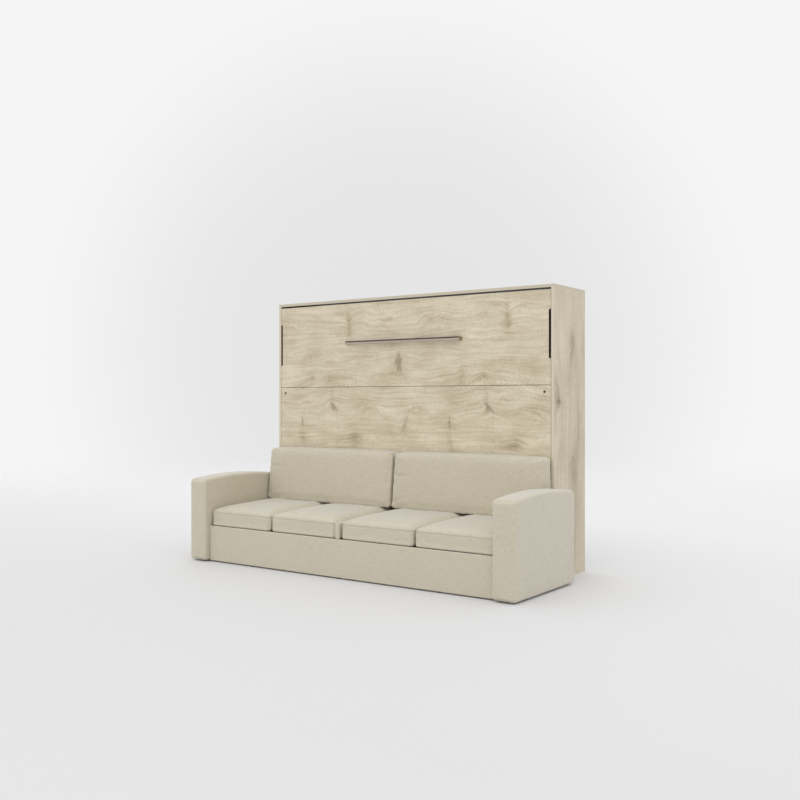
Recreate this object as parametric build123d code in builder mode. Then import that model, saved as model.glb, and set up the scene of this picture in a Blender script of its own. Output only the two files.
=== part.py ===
import os
from math import atan2, degrees, hypot, pi

from build123d import *

os.makedirs("parts", exist_ok=True)

# A horizontal fold-down wall bed with a sofa in front, at its closed rest.
# X runs along the wall, Y towards the wall and Z up, in millimetres.
# The origin is on the floor, below the middle of the whole piece.

# Mattress
mattress_length = 2000
mattress_width = 900
mattress_thickness = 160
mattress_round = 24
mattress_end_gap = 3
mattress_side_gap = 5

# Boards, and the gaps around the moving front
board = 18
service_space = 16          # between a bed end board and the cabinet side
side_gap = 2
panel_seam = 3
lower_panel_height = 537
top_gap = 11
running = 0.05              # radial clearance of pins in their holes
cut_over = 1                # how far a cut runs past its face

# Cabinet
cabinet_depth = 415
rail_height = 100
cleat_size = 20
cleat_length = 420
cleat_floor_gap = 20

# Sofa
sofa_depth = 700
arm_width = 140
arm_overlap = 7.5           # how far an arm reaches in front of the cabinet side
arm_front_height = 524
arm_back_height = 527
arm_crown_height = 548
arm_front_round = 22
arm_back_round = 38
arm_edge_round = 20
arm_foam = 14
arm_core_play = 0.3
arm_core_chamfer = 26       # keeps the core inside the cover's rounded lower corners
glide_height = 7
glide_radius = 16
apron_recess = 40
apron_padding = 12
apron_round = 5
seat_deck_height = 229
deck_seam = 2
post_width = 28
post_height = 96
post_round = 8

# Seat cushions
seat_gap = 3
seat_lift = 0.3
seat_edge_height = 320
seat_crown_height = 357
seat_front_set_back = 2
seat_rear_set_back = 25
seat_side_round = 9
seat_shoulder_run = 60
seat_shoulder_share = 0.72
seat_shoulder_bulge = 5

# Back cushions
back_gap = 3
back_thickness = 138
back_wall_gap = 2
back_bottom_height = 357.2
back_top_height = 716
back_crown = 16
back_top_crown = 34
back_lean = 12

# The fold
arm_clearance = 34          # from the arm's crown to the open bed's underside
pivot_setback = 32
pivot_drop = 34
sweep_gap = 1.5
pivot_pin_radius = 8
pivot_plate_size = 120
pivot_plate_thickness = 4
pivot_plate_round = 10
bush_radius = 14
bush_play = 0.4

# Bed frame
frame_inset = 42            # from the moving front's lower edge to the frame
frame_depth = 140
front_overhang = 98
end_board_margin = 12
top_batten_drop = 20
top_batten_depth = 40
seam_batten_height = 100
slat_count = 14
slat_width = 63
slat_thickness = 8
slat_margin = 75
slat_end_play = 6
slat_depth = 40             # from the panels' back to the slats
holder_width = 73
holder_length = 32
holder_thickness = 16
holder_play = 0.3
strap_width = 40
strap_thickness = 1.5
strap_play = 0.4
strap_place_share = 0.3

# Handle and screw covers
handle_length = 880
handle_height = 22
handle_thickness = 12
handle_standoff = 36
handle_centre_height = 1406
handle_bevel = 1.5
cover_radius = 7
cover_thickness = 1.2
cover_inset = 60
cover_drop = 39.5

# Telescopic legs and their slots in the upper panel
slot_length = 286
slot_depth = 13
slot_taper = 5
slot_top_drop = 112         # from the moving front's top edge
leg_pivot_drop = 18
leg_pivot_depth = 27
leg_thickness = 8
leg_width = 20
leg_head = 10
leg_outer_reach = 217
leg_wall = 1.2
leg_side_wall = 1.5
leg_play = 0.2
leg_plug = 12
leg_step = 1
leg_foot = 6
leg_pin_radius = 5
leg_shoulder_radius = 9
leg_shoulder = 3
leg_floor_gap = 0.5

# Gas struts
strut_arm = 100
strut_anchor_back = 340
strut_anchor_up = 16
strut_radius = 9
strut_bore_radius = 7.7
strut_piston_radius = 7.5
strut_rod_radius = 4
strut_length = 200
strut_wall = 12
strut_piston_length = 12
strut_piston_place = 153
strut_eye_radius = 11
strut_eye_width = 15
strut_stud_radius = 5
strut_clear = 1
strut_stud_gap = 0.5
crank_width = 26
crank_thickness = 4
crank_reach = 150
bracket_size = 50
bracket_thickness = 4
bracket_round = 6

# Small fittings
stop_height = 40
stop_depth = 20
stop_reach = 10
stop_gap = 0.3
stop_drop = 30
angle_leg = 40
angle_thickness = 2
angle_width = 30
angle_front_share = 0.55
angle_rear_share = 0.82
wall_hole_radius = 5
wall_hole_spacing = 1600
wall_hole_row_gap = 50
wall_plate_width = 60
wall_plate_height = 90
wall_plate_thickness = 3
bolt_radius = 4
bolt_head_radius = 8
bolt_head = 5
bolt_play = 0.2
bolt_height = 120
bolt_place_shares = (-0.68, -0.24, 0.24, 0.68)

# Widths, measured from the middle to one side
end_inner = mattress_length / 2 + mattress_end_gap
end_outer = end_inner + board
cabinet_inner = end_outer + service_space
cabinet_outer = cabinet_inner + board
panel_edge = cabinet_inner - side_gap
arm_inner = cabinet_outer - arm_overlap
arm_outer = arm_inner + arm_width

# Depths: the front plane is the closed front's face
front = (sofa_depth - cabinet_depth) / 2
panel_back = front + board
cabinet_back = front + cabinet_depth
sofa_front = front - sofa_depth
pivot_y = front + pivot_setback
slat_front = panel_back + slat_depth

# Heights
underside = arm_crown_height + arm_clearance
pivot_z = underside + pivot_setback
front_low = pivot_z - pivot_drop
fixed_front_top = pivot_z - hypot(pivot_setback, pivot_drop) - sweep_gap
frame_low = front_low + frame_inset
mattress_low = frame_low + board + mattress_side_gap
mattress_high = mattress_low + mattress_width
frame_high = mattress_high + mattress_side_gap + board
front_high = frame_high + front_overhang
seam_z = front_low + lower_panel_height + panel_seam / 2
top_under = front_high + top_gap
cabinet_height = top_under + board


def both(sign, near, far):
    """The X span from near to far on the left (-1) or the right (+1)."""
    return tuple(sorted((sign * near, sign * far)))


def block(x_span, y_span, z_span):
    """A board or block between two corners."""
    with BuildPart() as piece:
        with BuildSketch(Plane.XY.offset(z_span[0])):
            with Locations((sum(x_span) / 2, sum(y_span) / 2)):
                Rectangle(x_span[1] - x_span[0], y_span[1] - y_span[0])
        extrude(amount=z_span[1] - z_span[0])
    return piece


def keep(name, piece):
    """Label a finished piece and write its file."""
    piece.part.label = name
    export_step(piece.part, f"parts/{name}.step")


def across(x_low, y, z):
    """A plane facing +X whose centre is at the point."""
    return Plane(origin=(x_low, y, z), x_dir=(0, 1, 0), z_dir=(1, 0, 0))


# Cabinet shell
for side, sign in (("left", -1), ("right", 1)):
    pocket_span = both(sign, cabinet_inner, cabinet_inner + pivot_plate_thickness)
    with BuildPart() as side_panel:
        with BuildSketch(Plane.XY):
            with Locations((sign * (cabinet_inner + cabinet_outer) / 2, (front + cabinet_back) / 2)):
                Rectangle(board, cabinet_depth)
        extrude(amount=top_under)
        with BuildSketch(across(pocket_span[0], pivot_y, pivot_z)):
            with Locations((pivot_plate_size / 2 - pivot_setback + pivot_plate_round, 0)):
                RectangleRounded(pivot_plate_size, pivot_plate_size, pivot_plate_round)
        extrude(amount=pivot_plate_thickness, mode=Mode.SUBTRACT)
    keep(f"side_panel_{side}", side_panel)

top_panel = block((-cabinet_outer, cabinet_outer), (front, cabinet_back), (top_under, cabinet_height))
keep("top_panel", top_panel)

with BuildPart() as lower_front_panel:
    with BuildSketch(Plane.XZ.offset(-front)):
        with Locations((0, fixed_front_top / 2)):
            Rectangle(2 * cabinet_inner, fixed_front_top)
        for share in bolt_place_shares:
            with Locations((share * cabinet_inner, bolt_height)):
                Circle(bolt_radius + bolt_play, mode=Mode.SUBTRACT)
    extrude(amount=-board)
keep("lower_front_panel", lower_front_panel)

wall_rail_z = top_under - rail_height / 2
with BuildPart() as wall_rail:
    with BuildSketch(Plane.XZ.offset(-cabinet_back)):
        with Locations((0, wall_rail_z)):
            Rectangle(2 * cabinet_inner, rail_height)
            with GridLocations(wall_hole_spacing, wall_hole_row_gap, 2, 2):
                Circle(wall_hole_radius, mode=Mode.SUBTRACT)
    extrude(amount=board)
keep("wall_rail", wall_rail)

with BuildPart() as wall_plates:
    with BuildSketch(Plane.XZ.offset(board - cabinet_back)):
        with Locations((0, wall_rail_z)):
            with GridLocations(wall_hole_spacing, 0, 2, 1):
                Rectangle(wall_plate_width, wall_plate_height)
            with GridLocations(wall_hole_spacing, wall_hole_row_gap, 2, 2):
                Circle(wall_hole_radius, mode=Mode.SUBTRACT)
    extrude(amount=wall_plate_thickness)
keep("wall_plates", wall_plates)

cabinet_span = (-cabinet_inner, cabinet_inner)
rear_floor_rail = block(cabinet_span, (cabinet_back - board, cabinet_back), (0, rail_height))
keep("rear_floor_rail", rear_floor_rail)

with BuildPart() as front_cleats:
    with BuildSketch(Plane.XY.offset(cleat_floor_gap)):
        with Locations((0, panel_back + cleat_size / 2)):
            with GridLocations(2 * cabinet_inner - cleat_size, 0, 2, 1):
                Rectangle(cleat_size, cleat_size)
    extrude(amount=cleat_length)
keep("front_cleats", front_cleats)

# Steel angles between the sides and the top
with BuildPart() as corner_angles:
    for share in (angle_front_share, angle_rear_share):
        angle_y = front + share * cabinet_depth
        with BuildSketch(Plane.XZ.offset(angle_width / 2 - angle_y)):
            for sign in (-1, 1):
                corner = (sign * cabinet_inner, top_under)
                inner = angle_leg - angle_thickness
                with BuildLine():
                    Polyline(
                        corner,
                        (corner[0] - sign * angle_leg, corner[1]),
                        (corner[0] - sign * angle_leg, corner[1] - angle_thickness),
                        (corner[0] - sign * angle_thickness, corner[1] - angle_thickness),
                        (corner[0] - sign * angle_thickness, corner[1] - angle_thickness - inner),
                        (corner[0], corner[1] - angle_thickness - inner),
                        close=True,
                    )
                make_face()
        extrude(amount=-angle_width)
keep("corner_angles", corner_angles)

# Rubber stops that the closed front rests against
with BuildPart() as closing_stops:
    for sign in (-1, 1):
        stop_span = both(sign, cabinet_inner - stop_reach, cabinet_inner)
        with BuildSketch(across(stop_span[0], panel_back + stop_gap, front_high - stop_drop)):
            Rectangle(stop_depth, stop_height, align=(Align.MIN, Align.MAX))
        extrude(amount=stop_reach)
keep("closing_stops", closing_stops)

# Fold pivots: plates let into the sides, with their pins
with BuildPart() as pivot_plates:
    for sign in (-1, 1):
        plate_span = both(sign, cabinet_inner, cabinet_inner + pivot_plate_thickness)
        pin_span = both(sign, end_inner, cabinet_inner)
        with BuildSketch(across(plate_span[0], pivot_y, pivot_z)):
            with Locations((pivot_plate_size / 2 - pivot_setback + pivot_plate_round, 0)):
                RectangleRounded(pivot_plate_size, pivot_plate_size, pivot_plate_round)
        extrude(amount=pivot_plate_thickness)
        with BuildSketch(across(pin_span[0], pivot_y, pivot_z)):
            Circle(pivot_pin_radius)
        extrude(amount=cabinet_inner - end_inner)
keep("pivot_plates", pivot_plates)

with BuildPart() as pivot_bushes:
    for sign in (-1, 1):
        bush_span = both(sign, end_outer + crank_thickness + bush_play, cabinet_inner)
        with BuildSketch(across(bush_span[0], pivot_y, pivot_z)):
            Circle(bush_radius)
            Circle(pivot_pin_radius + running, mode=Mode.SUBTRACT)
        extrude(amount=bush_span[1] - bush_span[0])
keep("pivot_bushes", pivot_bushes)

# Gas struts: geometry of the closed bed and of the open one
strut_x = end_outer - strut_clear - strut_radius
anchor_y = pivot_y + strut_anchor_back
anchor_z = pivot_z + strut_anchor_up
strut_closed = hypot(strut_anchor_back, strut_anchor_up + strut_arm)
strut_open = hypot(strut_anchor_back - strut_arm, strut_anchor_up)
strut_stroke = strut_closed - strut_open
strut_angle_closed = atan2(-strut_anchor_up - strut_arm, -strut_anchor_back)
strut_angle_open = atan2(-strut_anchor_up, strut_arm - strut_anchor_back)
strut_swing = degrees(strut_angle_open - strut_angle_closed)
print("strut closed", strut_closed, "open", strut_open, "stroke", strut_stroke, "swing", strut_swing)

with BuildPart() as strut_brackets:
    for sign in (-1, 1):
        plate_span = both(sign, cabinet_inner - bracket_thickness, cabinet_inner)
        stud_span = both(sign, strut_x - strut_radius, cabinet_inner - bracket_thickness)
        with BuildSketch(across(plate_span[0], anchor_y, anchor_z)):
            RectangleRounded(bracket_size, bracket_size, bracket_round)
        extrude(amount=bracket_thickness)
        with BuildSketch(across(stud_span[0], anchor_y, anchor_z)):
            Circle(strut_stud_radius)
        extrude(amount=stud_span[1] - stud_span[0])
keep("strut_brackets", strut_brackets)


def along_strut(sign, distance):
    """A plane square to the closed strut, at a distance from its anchor."""
    run = distance / strut_closed
    y = anchor_y - strut_anchor_back * run
    z = anchor_z - (strut_anchor_up + strut_arm) * run
    direction = (0, -strut_anchor_back, -strut_anchor_up - strut_arm)
    return Plane(origin=(sign * strut_x, y, z), x_dir=(1, 0, 0), z_dir=direction)


for side, sign in (("left", -1), ("right", 1)):
    eye_low = sign * strut_x - strut_eye_width / 2
    with BuildPart() as strut_cylinder:
        with BuildSketch(along_strut(sign, 0)):
            Circle(strut_radius)
        extrude(amount=strut_length)
        with BuildSketch(across(eye_low, anchor_y, anchor_z)):
            Circle(strut_eye_radius)
        extrude(amount=strut_eye_width)
        with BuildSketch(along_strut(sign, strut_wall + strut_eye_radius)):
            Circle(strut_bore_radius)
        extrude(amount=strut_length - 2 * strut_wall - strut_eye_radius, mode=Mode.SUBTRACT)
        with BuildSketch(along_strut(sign, strut_length - strut_wall)):
            Circle(strut_rod_radius + running)
        extrude(amount=strut_wall, mode=Mode.SUBTRACT)
        with BuildSketch(across(sign * strut_x - strut_radius, anchor_y, anchor_z)):
            Circle(strut_stud_radius + running)
        extrude(amount=2 * strut_radius, mode=Mode.SUBTRACT)
    keep(f"strut_cylinder_{side}", strut_cylinder)

    stud_span = both(sign, strut_x, end_outer - strut_stud_gap)
    with BuildPart() as strut_rod:
        with BuildSketch(along_strut(sign, strut_piston_place)):
            Circle(strut_piston_radius)
        extrude(amount=strut_piston_length)
        with BuildSketch(along_strut(sign, strut_piston_place)):
            Circle(strut_rod_radius)
        extrude(amount=strut_closed - strut_piston_place)
        with BuildSketch(across(eye_low, pivot_y, pivot_z - strut_arm)):
            Circle(strut_radius)
        extrude(amount=strut_eye_width)
        with BuildSketch(across(stud_span[0], pivot_y, pivot_z - strut_arm)):
            Circle(strut_stud_radius)
        extrude(amount=stud_span[1] - stud_span[0])
    keep(f"strut_rod_{side}", strut_rod)

# Moving front: two panels, the upper one with a slot in each end for a leg
front_panel_lower = block(
    (-panel_edge, panel_edge), (front, panel_back), (front_low, seam_z - panel_seam / 2)
)
keep("front_panel_lower", front_panel_lower)

slot_top = front_high - slot_top_drop
slot_low = slot_top - slot_length
upper_low = seam_z + panel_seam / 2
with BuildPart() as front_panel_upper:
    with BuildSketch(Plane.XZ.offset(-front)):
        with Locations((0, (upper_low + front_high) / 2)):
            Rectangle(2 * panel_edge, front_high - upper_low)
        for sign in (-1, 1):
            with BuildLine():
                Polyline(
                    (sign * (panel_edge + cut_over), slot_low),
                    (sign * panel_edge, slot_low),
                    (sign * (panel_edge - slot_depth), slot_low + slot_taper),
                    (sign * (panel_edge - slot_depth), slot_top - slot_taper),
                    (sign * panel_edge, slot_top),
                    (sign * (panel_edge + cut_over), slot_top),
                    close=True,
                )
            make_face(mode=Mode.SUBTRACT)
    extrude(amount=-board)
keep("front_panel_upper", front_panel_upper)

# Bed frame behind the panels
leg_pivot_y = front + leg_pivot_depth
leg_pivot_z = slot_top - leg_pivot_drop
end_board_low = front_low + end_board_margin
end_board_high = front_high - top_batten_drop
frame_back = panel_back + frame_depth
for side, sign in (("left", -1), ("right", 1)):
    end_span = both(sign, end_inner, end_outer)
    with BuildPart() as end_board:
        with BuildSketch(across(end_span[0], 0, 0)):
            with Locations(((panel_back + frame_back) / 2, (end_board_low + end_board_high) / 2)):
                Rectangle(frame_depth, end_board_high - end_board_low)
            with Locations((pivot_y, pivot_z)):
                Circle(pivot_pin_radius + running, mode=Mode.SUBTRACT)
            with Locations((leg_pivot_y, leg_pivot_z)):
                Circle(leg_pin_radius + running, mode=Mode.SUBTRACT)
        extrude(amount=board)
    keep(f"bed_end_board_{side}", end_board)

frame_span = (-end_inner, end_inner)
bed_board_lower = block(frame_span, (panel_back, frame_back), (frame_low, frame_low + board))
keep("bed_board_lower", bed_board_lower)
bed_board_upper = block(frame_span, (panel_back, frame_back), (frame_high - board, frame_high))
keep("bed_board_upper", bed_board_upper)
top_batten = block(
    frame_span, (panel_back, panel_back + top_batten_depth), (end_board_high - board, end_board_high)
)
keep("top_batten", top_batten)
slat_middle = (mattress_low + mattress_high) / 2
beam_heights = (slat_middle - board / 2, slat_middle + board / 2)
slat_beam = block(frame_span, (panel_back + board, slat_front), beam_heights)
keep("slat_beam", slat_beam)

# The seam batten covers the seam and reaches the slat beam
batten_low = min(seam_z - seam_batten_height / 2, beam_heights[0])
batten_high = max(seam_z + seam_batten_height / 2, beam_heights[1])
seam_batten = block(frame_span, (panel_back, panel_back + board), (batten_low, batten_high))
keep("seam_batten", seam_batten)

# Slats in their plastic holders on the two long boards
slat_pitch = (mattress_length - 2 * slat_margin) / (slat_count - 1)
slat_length = mattress_width + 2 * mattress_side_gap - 2 * slat_end_play
with BuildPart() as slats:
    with BuildSketch(Plane.XZ.offset(-slat_front)):
        with Locations((0, slat_middle)):
            with GridLocations(slat_pitch, 0, slat_count, 1):
                RectangleRounded(slat_width, slat_length, slat_thickness / 2)
    extrude(amount=-slat_thickness)
keep("slats", slats)

holder_y = slat_front + slat_thickness / 2
holder_spread = mattress_width + 2 * mattress_side_gap - holder_length
slot_play = 2 * holder_play
with BuildPart() as slat_holders:
    with BuildSketch(Plane.XZ.offset(holder_thickness / 2 - holder_y)):
        with Locations((0, slat_middle)):
            with GridLocations(slat_pitch, holder_spread, slat_count, 2):
                Rectangle(holder_width, holder_length)
    extrude(amount=-holder_thickness)
    with BuildSketch(Plane.XZ.offset((slat_thickness + slot_play) / 2 - holder_y)):
        with Locations((0, slat_middle)):
            with GridLocations(slat_pitch, 0, slat_count, 1):
                Rectangle(slat_width + slot_play, slat_length + slot_play)
    extrude(amount=-slat_thickness - slot_play, mode=Mode.SUBTRACT)
keep("slat_holders", slat_holders)

# Mattress, lifted off the holders' lips, and the straps that hold it
mattress_rest = holder_y + holder_thickness / 2 + holder_play
with BuildPart() as mattress:
    with BuildSketch(Plane.XZ.offset(-mattress_rest)):
        with Locations((0, slat_middle)):
            RectangleRounded(mattress_length, mattress_width, mattress_round)
    extrude(amount=-mattress_thickness)
    fillet(mattress.faces().sort_by(Axis.Y)[-1].edges(), radius=mattress_round)
    fillet(mattress.faces().sort_by(Axis.Y)[0].edges(), radius=mattress_round)
keep("mattress", mattress)

strap_over = mattress_rest + mattress_thickness + strap_play
strap_low = mattress_low - strap_play - strap_thickness
strap_high = mattress_high + strap_play + strap_thickness
strap_start = panel_back + frame_depth / 2
with BuildPart() as mattress_straps:
    for sign in (-1, 1):
        strap_x = sign * strap_place_share * mattress_length
        with BuildSketch(Plane.YZ.offset(strap_x - strap_width / 2)):
            with BuildLine():
                Polyline(
                    (strap_start, strap_low),
                    (strap_over + strap_thickness, strap_low),
                    (strap_over + strap_thickness, strap_high),
                    (strap_start, strap_high),
                    (strap_start, strap_high - strap_thickness),
                    (strap_over, strap_high - strap_thickness),
                    (strap_over, strap_low + strap_thickness),
                    (strap_start, strap_low + strap_thickness),
                    close=True,
                )
            make_face()
        extrude(amount=strap_width)
keep("mattress_straps", mattress_straps)

# Crank plates that the struts push on
with BuildPart() as crank_plates:
    for sign in (-1, 1):
        crank_span = both(sign, end_outer, end_outer + crank_thickness)
        with BuildSketch(across(crank_span[0], pivot_y, pivot_z)):
            with Locations((0, (crank_reach - strut_arm) / 2)):
                SlotCenterToCenter(crank_reach + strut_arm, crank_width, rotation=90)
            Circle(pivot_pin_radius + running, mode=Mode.SUBTRACT)
        extrude(amount=crank_thickness)
keep("crank_plates", crank_plates)

# Handle: a flat bar with a return at each end
with BuildPart() as handle_bar:
    with BuildSketch(Plane.XZ.offset(handle_standoff - front)):
        with Locations((0, handle_centre_height)):
            Rectangle(handle_length, handle_height)
    extrude(amount=-handle_thickness)
    chamfer(handle_bar.faces().sort_by(Axis.Y)[0].edges(), length=handle_bevel)
keep("handle_bar", handle_bar)

with BuildPart() as handle_posts:
    with BuildSketch(Plane.XZ.offset(handle_standoff - handle_thickness - front)):
        with Locations((0, handle_centre_height)):
            with GridLocations(handle_length - handle_thickness, 0, 2, 1):
                Rectangle(handle_thickness, handle_height)
    extrude(amount=handle_thickness - handle_standoff)
keep("handle_posts", handle_posts)

with BuildPart() as screw_covers:
    with BuildSketch(Plane.XZ.offset(-front)):
        with Locations((0, seam_z - cover_drop)):
            with GridLocations(2 * (cabinet_outer - cover_inset), 0, 2, 1):
                Circle(cover_radius)
    extrude(amount=cover_thickness)
keep("screw_covers", screw_covers)

# Telescopic legs, hanging in the slots: an outer tube, a middle tube and a bar
leg_x = panel_edge - slot_depth / 2
with BuildPart() as leg_pins:
    for sign in (-1, 1):
        pin_span = both(sign, end_inner, leg_x + leg_thickness / 2)
        shoulder_span = both(sign, end_outer, end_outer + leg_shoulder)
        with BuildSketch(across(pin_span[0], leg_pivot_y, leg_pivot_z)):
            Circle(leg_pin_radius)
        extrude(amount=pin_span[1] - pin_span[0])
        with BuildSketch(across(shoulder_span[0], leg_pivot_y, leg_pivot_z)):
            Circle(leg_shoulder_radius)
        extrude(amount=leg_shoulder)
keep("leg_pins", leg_pins)

middle_thickness = leg_thickness - 2 * (leg_wall + leg_play)
middle_width = leg_width - 2 * (leg_side_wall + leg_play)
inner_thickness = middle_thickness - 2 * (leg_wall + leg_play)
inner_width = middle_width - 2 * (leg_side_wall + leg_play)
leg_middle_reach = leg_outer_reach + leg_step
leg_inner_reach = leg_middle_reach + leg_step
leg_rest_reach = leg_inner_reach + leg_foot
leg_open_reach = underside + leg_pivot_depth - leg_floor_gap
leg_stroke = (leg_open_reach - leg_rest_reach) / 2
print("leg stroke of each stage", leg_stroke, "ratio m/rad", leg_stroke / (pi / 2))

for side, sign in (("left", -1), ("right", 1)):
    with BuildPart() as leg_outer:
        with BuildSketch(Plane.XY.offset(leg_pivot_z - leg_outer_reach)):
            with Locations((sign * leg_x, leg_pivot_y)):
                Rectangle(leg_thickness, leg_width)
        extrude(amount=leg_outer_reach + leg_head)
        with BuildSketch(Plane.XY.offset(leg_pivot_z - leg_outer_reach)):
            with Locations((sign * leg_x, leg_pivot_y)):
                Rectangle(leg_thickness - 2 * leg_wall, leg_width - 2 * leg_side_wall)
        extrude(amount=leg_outer_reach - leg_plug, mode=Mode.SUBTRACT)
        with BuildSketch(across(sign * leg_x - leg_thickness / 2, leg_pivot_y, leg_pivot_z)):
            Circle(leg_pin_radius + running)
        extrude(amount=leg_thickness, mode=Mode.SUBTRACT)
    keep(f"leg_outer_{side}", leg_outer)

    with BuildPart() as leg_middle:
        with BuildSketch(Plane.XY.offset(leg_pivot_z - leg_middle_reach)):
            with Locations((sign * leg_x, leg_pivot_y)):
                Rectangle(middle_thickness, middle_width)
                Rectangle(
                    middle_thickness - 2 * leg_wall, middle_width - 2 * leg_side_wall, mode=Mode.SUBTRACT
                )
        extrude(amount=leg_middle_reach - leg_plug - leg_step)
    keep(f"leg_middle_{side}", leg_middle)

    with BuildPart() as leg_inner:
        with BuildSketch(Plane.XY.offset(leg_pivot_z - leg_inner_reach)):
            with Locations((sign * leg_x, leg_pivot_y)):
                Rectangle(inner_thickness, inner_width)
        extrude(amount=leg_inner_reach - leg_plug - 2 * leg_step)
        with BuildSketch(Plane.XY.offset(leg_pivot_z - leg_rest_reach)):
            with Locations((sign * leg_x, leg_pivot_y)):
                Rectangle(leg_thickness, leg_width)
        extrude(amount=leg_foot)
    keep(f"leg_inner_{side}", leg_inner)

# Sofa arms: a board core inside a padded cover
core_top = arm_front_height - 2 * arm_foam
arm_crown_share = 0.6
for side, sign in (("left", -1), ("right", 1)):
    arm_span = both(sign, arm_inner, arm_outer)
    core_front = sofa_front + arm_foam
    core_depth = sofa_depth - 2 * arm_foam
    core_centre = (sign * (arm_inner + arm_outer) / 2, (sofa_front + front) / 2)
    core_wall = arm_width - 2 * arm_foam
    with BuildPart() as arm_cover:
        with BuildSketch(Plane.YZ.offset(arm_span[0])) as arm_side:
            with BuildLine():
                base_line = Line((front, glide_height), (sofa_front, glide_height))
                front_line = Line(base_line @ 1, (sofa_front, arm_front_height))
                top_line = ThreePointArc(
                    front_line @ 1,
                    (sofa_front + arm_crown_share * sofa_depth, arm_crown_height),
                    (front, arm_back_height),
                )
                Line(top_line @ 1, base_line @ 0)
            make_face()
            corners = arm_side.vertices().group_by(Axis.X)
            fillet(corners[0], radius=arm_front_round)
            fillet(corners[-1].sort_by(Axis.Y)[-1], radius=arm_back_round)
            fillet(arm_side.vertices().group_by(Axis.X)[-1].sort_by(Axis.Y)[0], radius=arm_front_round)
        extrude(amount=arm_width)
        fillet(arm_cover.faces().sort_by(Axis.X)[0].edges(), radius=arm_edge_round)
        fillet(arm_cover.faces().sort_by(Axis.X)[-1].edges(), radius=arm_edge_round)
        cavity_front = core_front - arm_core_play
        with BuildSketch(Plane.YZ.offset(arm_span[0] + arm_foam - arm_core_play)) as cavity:
            with Locations((cavity_front, glide_height)):
                cavity_size = (core_depth + 2 * arm_core_play, core_top - glide_height + arm_core_play)
                Rectangle(*cavity_size, align=(Align.MIN, Align.MIN))
            chamfer(cavity.vertices().group_by(Axis.Y)[0], length=arm_core_chamfer)
        extrude(amount=core_wall + 2 * arm_core_play, mode=Mode.SUBTRACT)
    keep(f"arm_cover_{side}", arm_cover)

    with BuildPart() as arm_core:
        with BuildSketch(Plane.YZ.offset(arm_span[0] + arm_foam)) as core_side:
            with Locations((core_front, glide_height)):
                Rectangle(core_depth, core_top - glide_height, align=(Align.MIN, Align.MIN))
            chamfer(core_side.vertices().group_by(Axis.Y)[0], length=arm_core_chamfer)
        extrude(amount=core_wall)
        with BuildSketch(Plane.XY.offset(glide_height + board)):
            with Locations(core_centre):
                Rectangle(core_wall - 2 * board, core_depth - 2 * board)
        extrude(amount=core_top - glide_height - 2 * board, mode=Mode.SUBTRACT)
    keep(f"arm_core_{side}", arm_core)

# Sofa base: boards, decks and the padded apron
apron_front = sofa_front + apron_recess
apron_board_front = apron_front + apron_padding
apron_board_back = apron_board_front + board
base_top = seat_deck_height - board
base_heights = (glide_height, base_top)
base_span = (-arm_inner, arm_inner)
with BuildPart() as apron_cover:
    with BuildSketch(Plane.XZ.offset(-apron_board_front)):
        with Locations((0, (glide_height + seat_deck_height) / 2)):
            Rectangle(2 * arm_inner, seat_deck_height - glide_height)
    extrude(amount=apron_padding)
    fillet(apron_cover.faces().sort_by(Axis.Y)[0].edges().filter_by(Axis.X), radius=apron_round)
keep("apron_cover", apron_cover)

apron_board = block(base_span, (apron_board_front, apron_board_back), base_heights)
keep("apron_board", apron_board)

with BuildPart() as base_back_board:
    with BuildSketch(Plane.XZ.offset(board - front)):
        with Locations((0, (glide_height + base_top) / 2)):
            Rectangle(2 * arm_inner, base_top - glide_height)
        for share in bolt_place_shares:
            with Locations((share * cabinet_inner, bolt_height)):
                Circle(bolt_radius + bolt_play, mode=Mode.SUBTRACT)
    extrude(amount=-board)
keep("base_back_board", base_back_board)

inner_depth = (apron_board_back, front - board)
with BuildPart() as base_end_boards:
    with BuildSketch(Plane.XY.offset(glide_height)):
        with Locations((0, sum(inner_depth) / 2)):
            with GridLocations(2 * arm_inner - board, 0, 2, 1):
                Rectangle(board, inner_depth[1] - inner_depth[0])
    extrude(amount=base_top - glide_height)
keep("base_end_boards", base_end_boards)
base_divider = block((-board / 2, board / 2), inner_depth, base_heights)
keep("base_divider", base_divider)

with BuildPart() as seat_decks:
    with BuildSketch(Plane.XY.offset(base_top)):
        with Locations((0, (apron_board_front + front) / 2)):
            with GridLocations(arm_inner + deck_seam / 2, 0, 2, 1):
                Rectangle(arm_inner - deck_seam / 2, front - apron_board_front)
    extrude(amount=board)
keep("seat_decks", seat_decks)

with BuildPart() as joining_bolts:
    for share in bolt_place_shares:
        with BuildSketch(Plane.XZ.offset(board + bolt_head - front)):
            with Locations((share * cabinet_inner, bolt_height)):
                Circle(bolt_head_radius)
        extrude(amount=-bolt_head)
        with BuildSketch(Plane.XZ.offset(board - front)):
            with Locations((share * cabinet_inner, bolt_height)):
                Circle(bolt_radius)
        extrude(amount=-2 * board)
        with BuildSketch(Plane.XZ.offset(-panel_back)):
            with Locations((share * cabinet_inner, bolt_height)):
                RegularPolygon(bolt_head_radius, 6)
        extrude(amount=-bolt_head)
keep("joining_bolts", joining_bolts)

glide_inset_share = 0.1
glide_front_y = sofa_front + glide_inset_share * sofa_depth
glide_rear_y = front - glide_inset_share * sofa_depth
base_glide_shares = (-0.66, 0, 0.66)
arm_middle = (arm_inner + arm_outer) / 2
glide_spots = [(x, y) for x in (-arm_middle, arm_middle) for y in (glide_front_y, glide_rear_y)]
base_glide_rows = (apron_board_front + glide_radius, front - glide_radius)
glide_spots += [(share * arm_inner, y) for share in base_glide_shares for y in base_glide_rows]
with BuildPart() as sofa_glides:
    with BuildSketch(Plane.XY):
        with Locations(*glide_spots):
            Circle(glide_radius)
    extrude(amount=glide_height)
keep("sofa_glides", sofa_glides)

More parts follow.
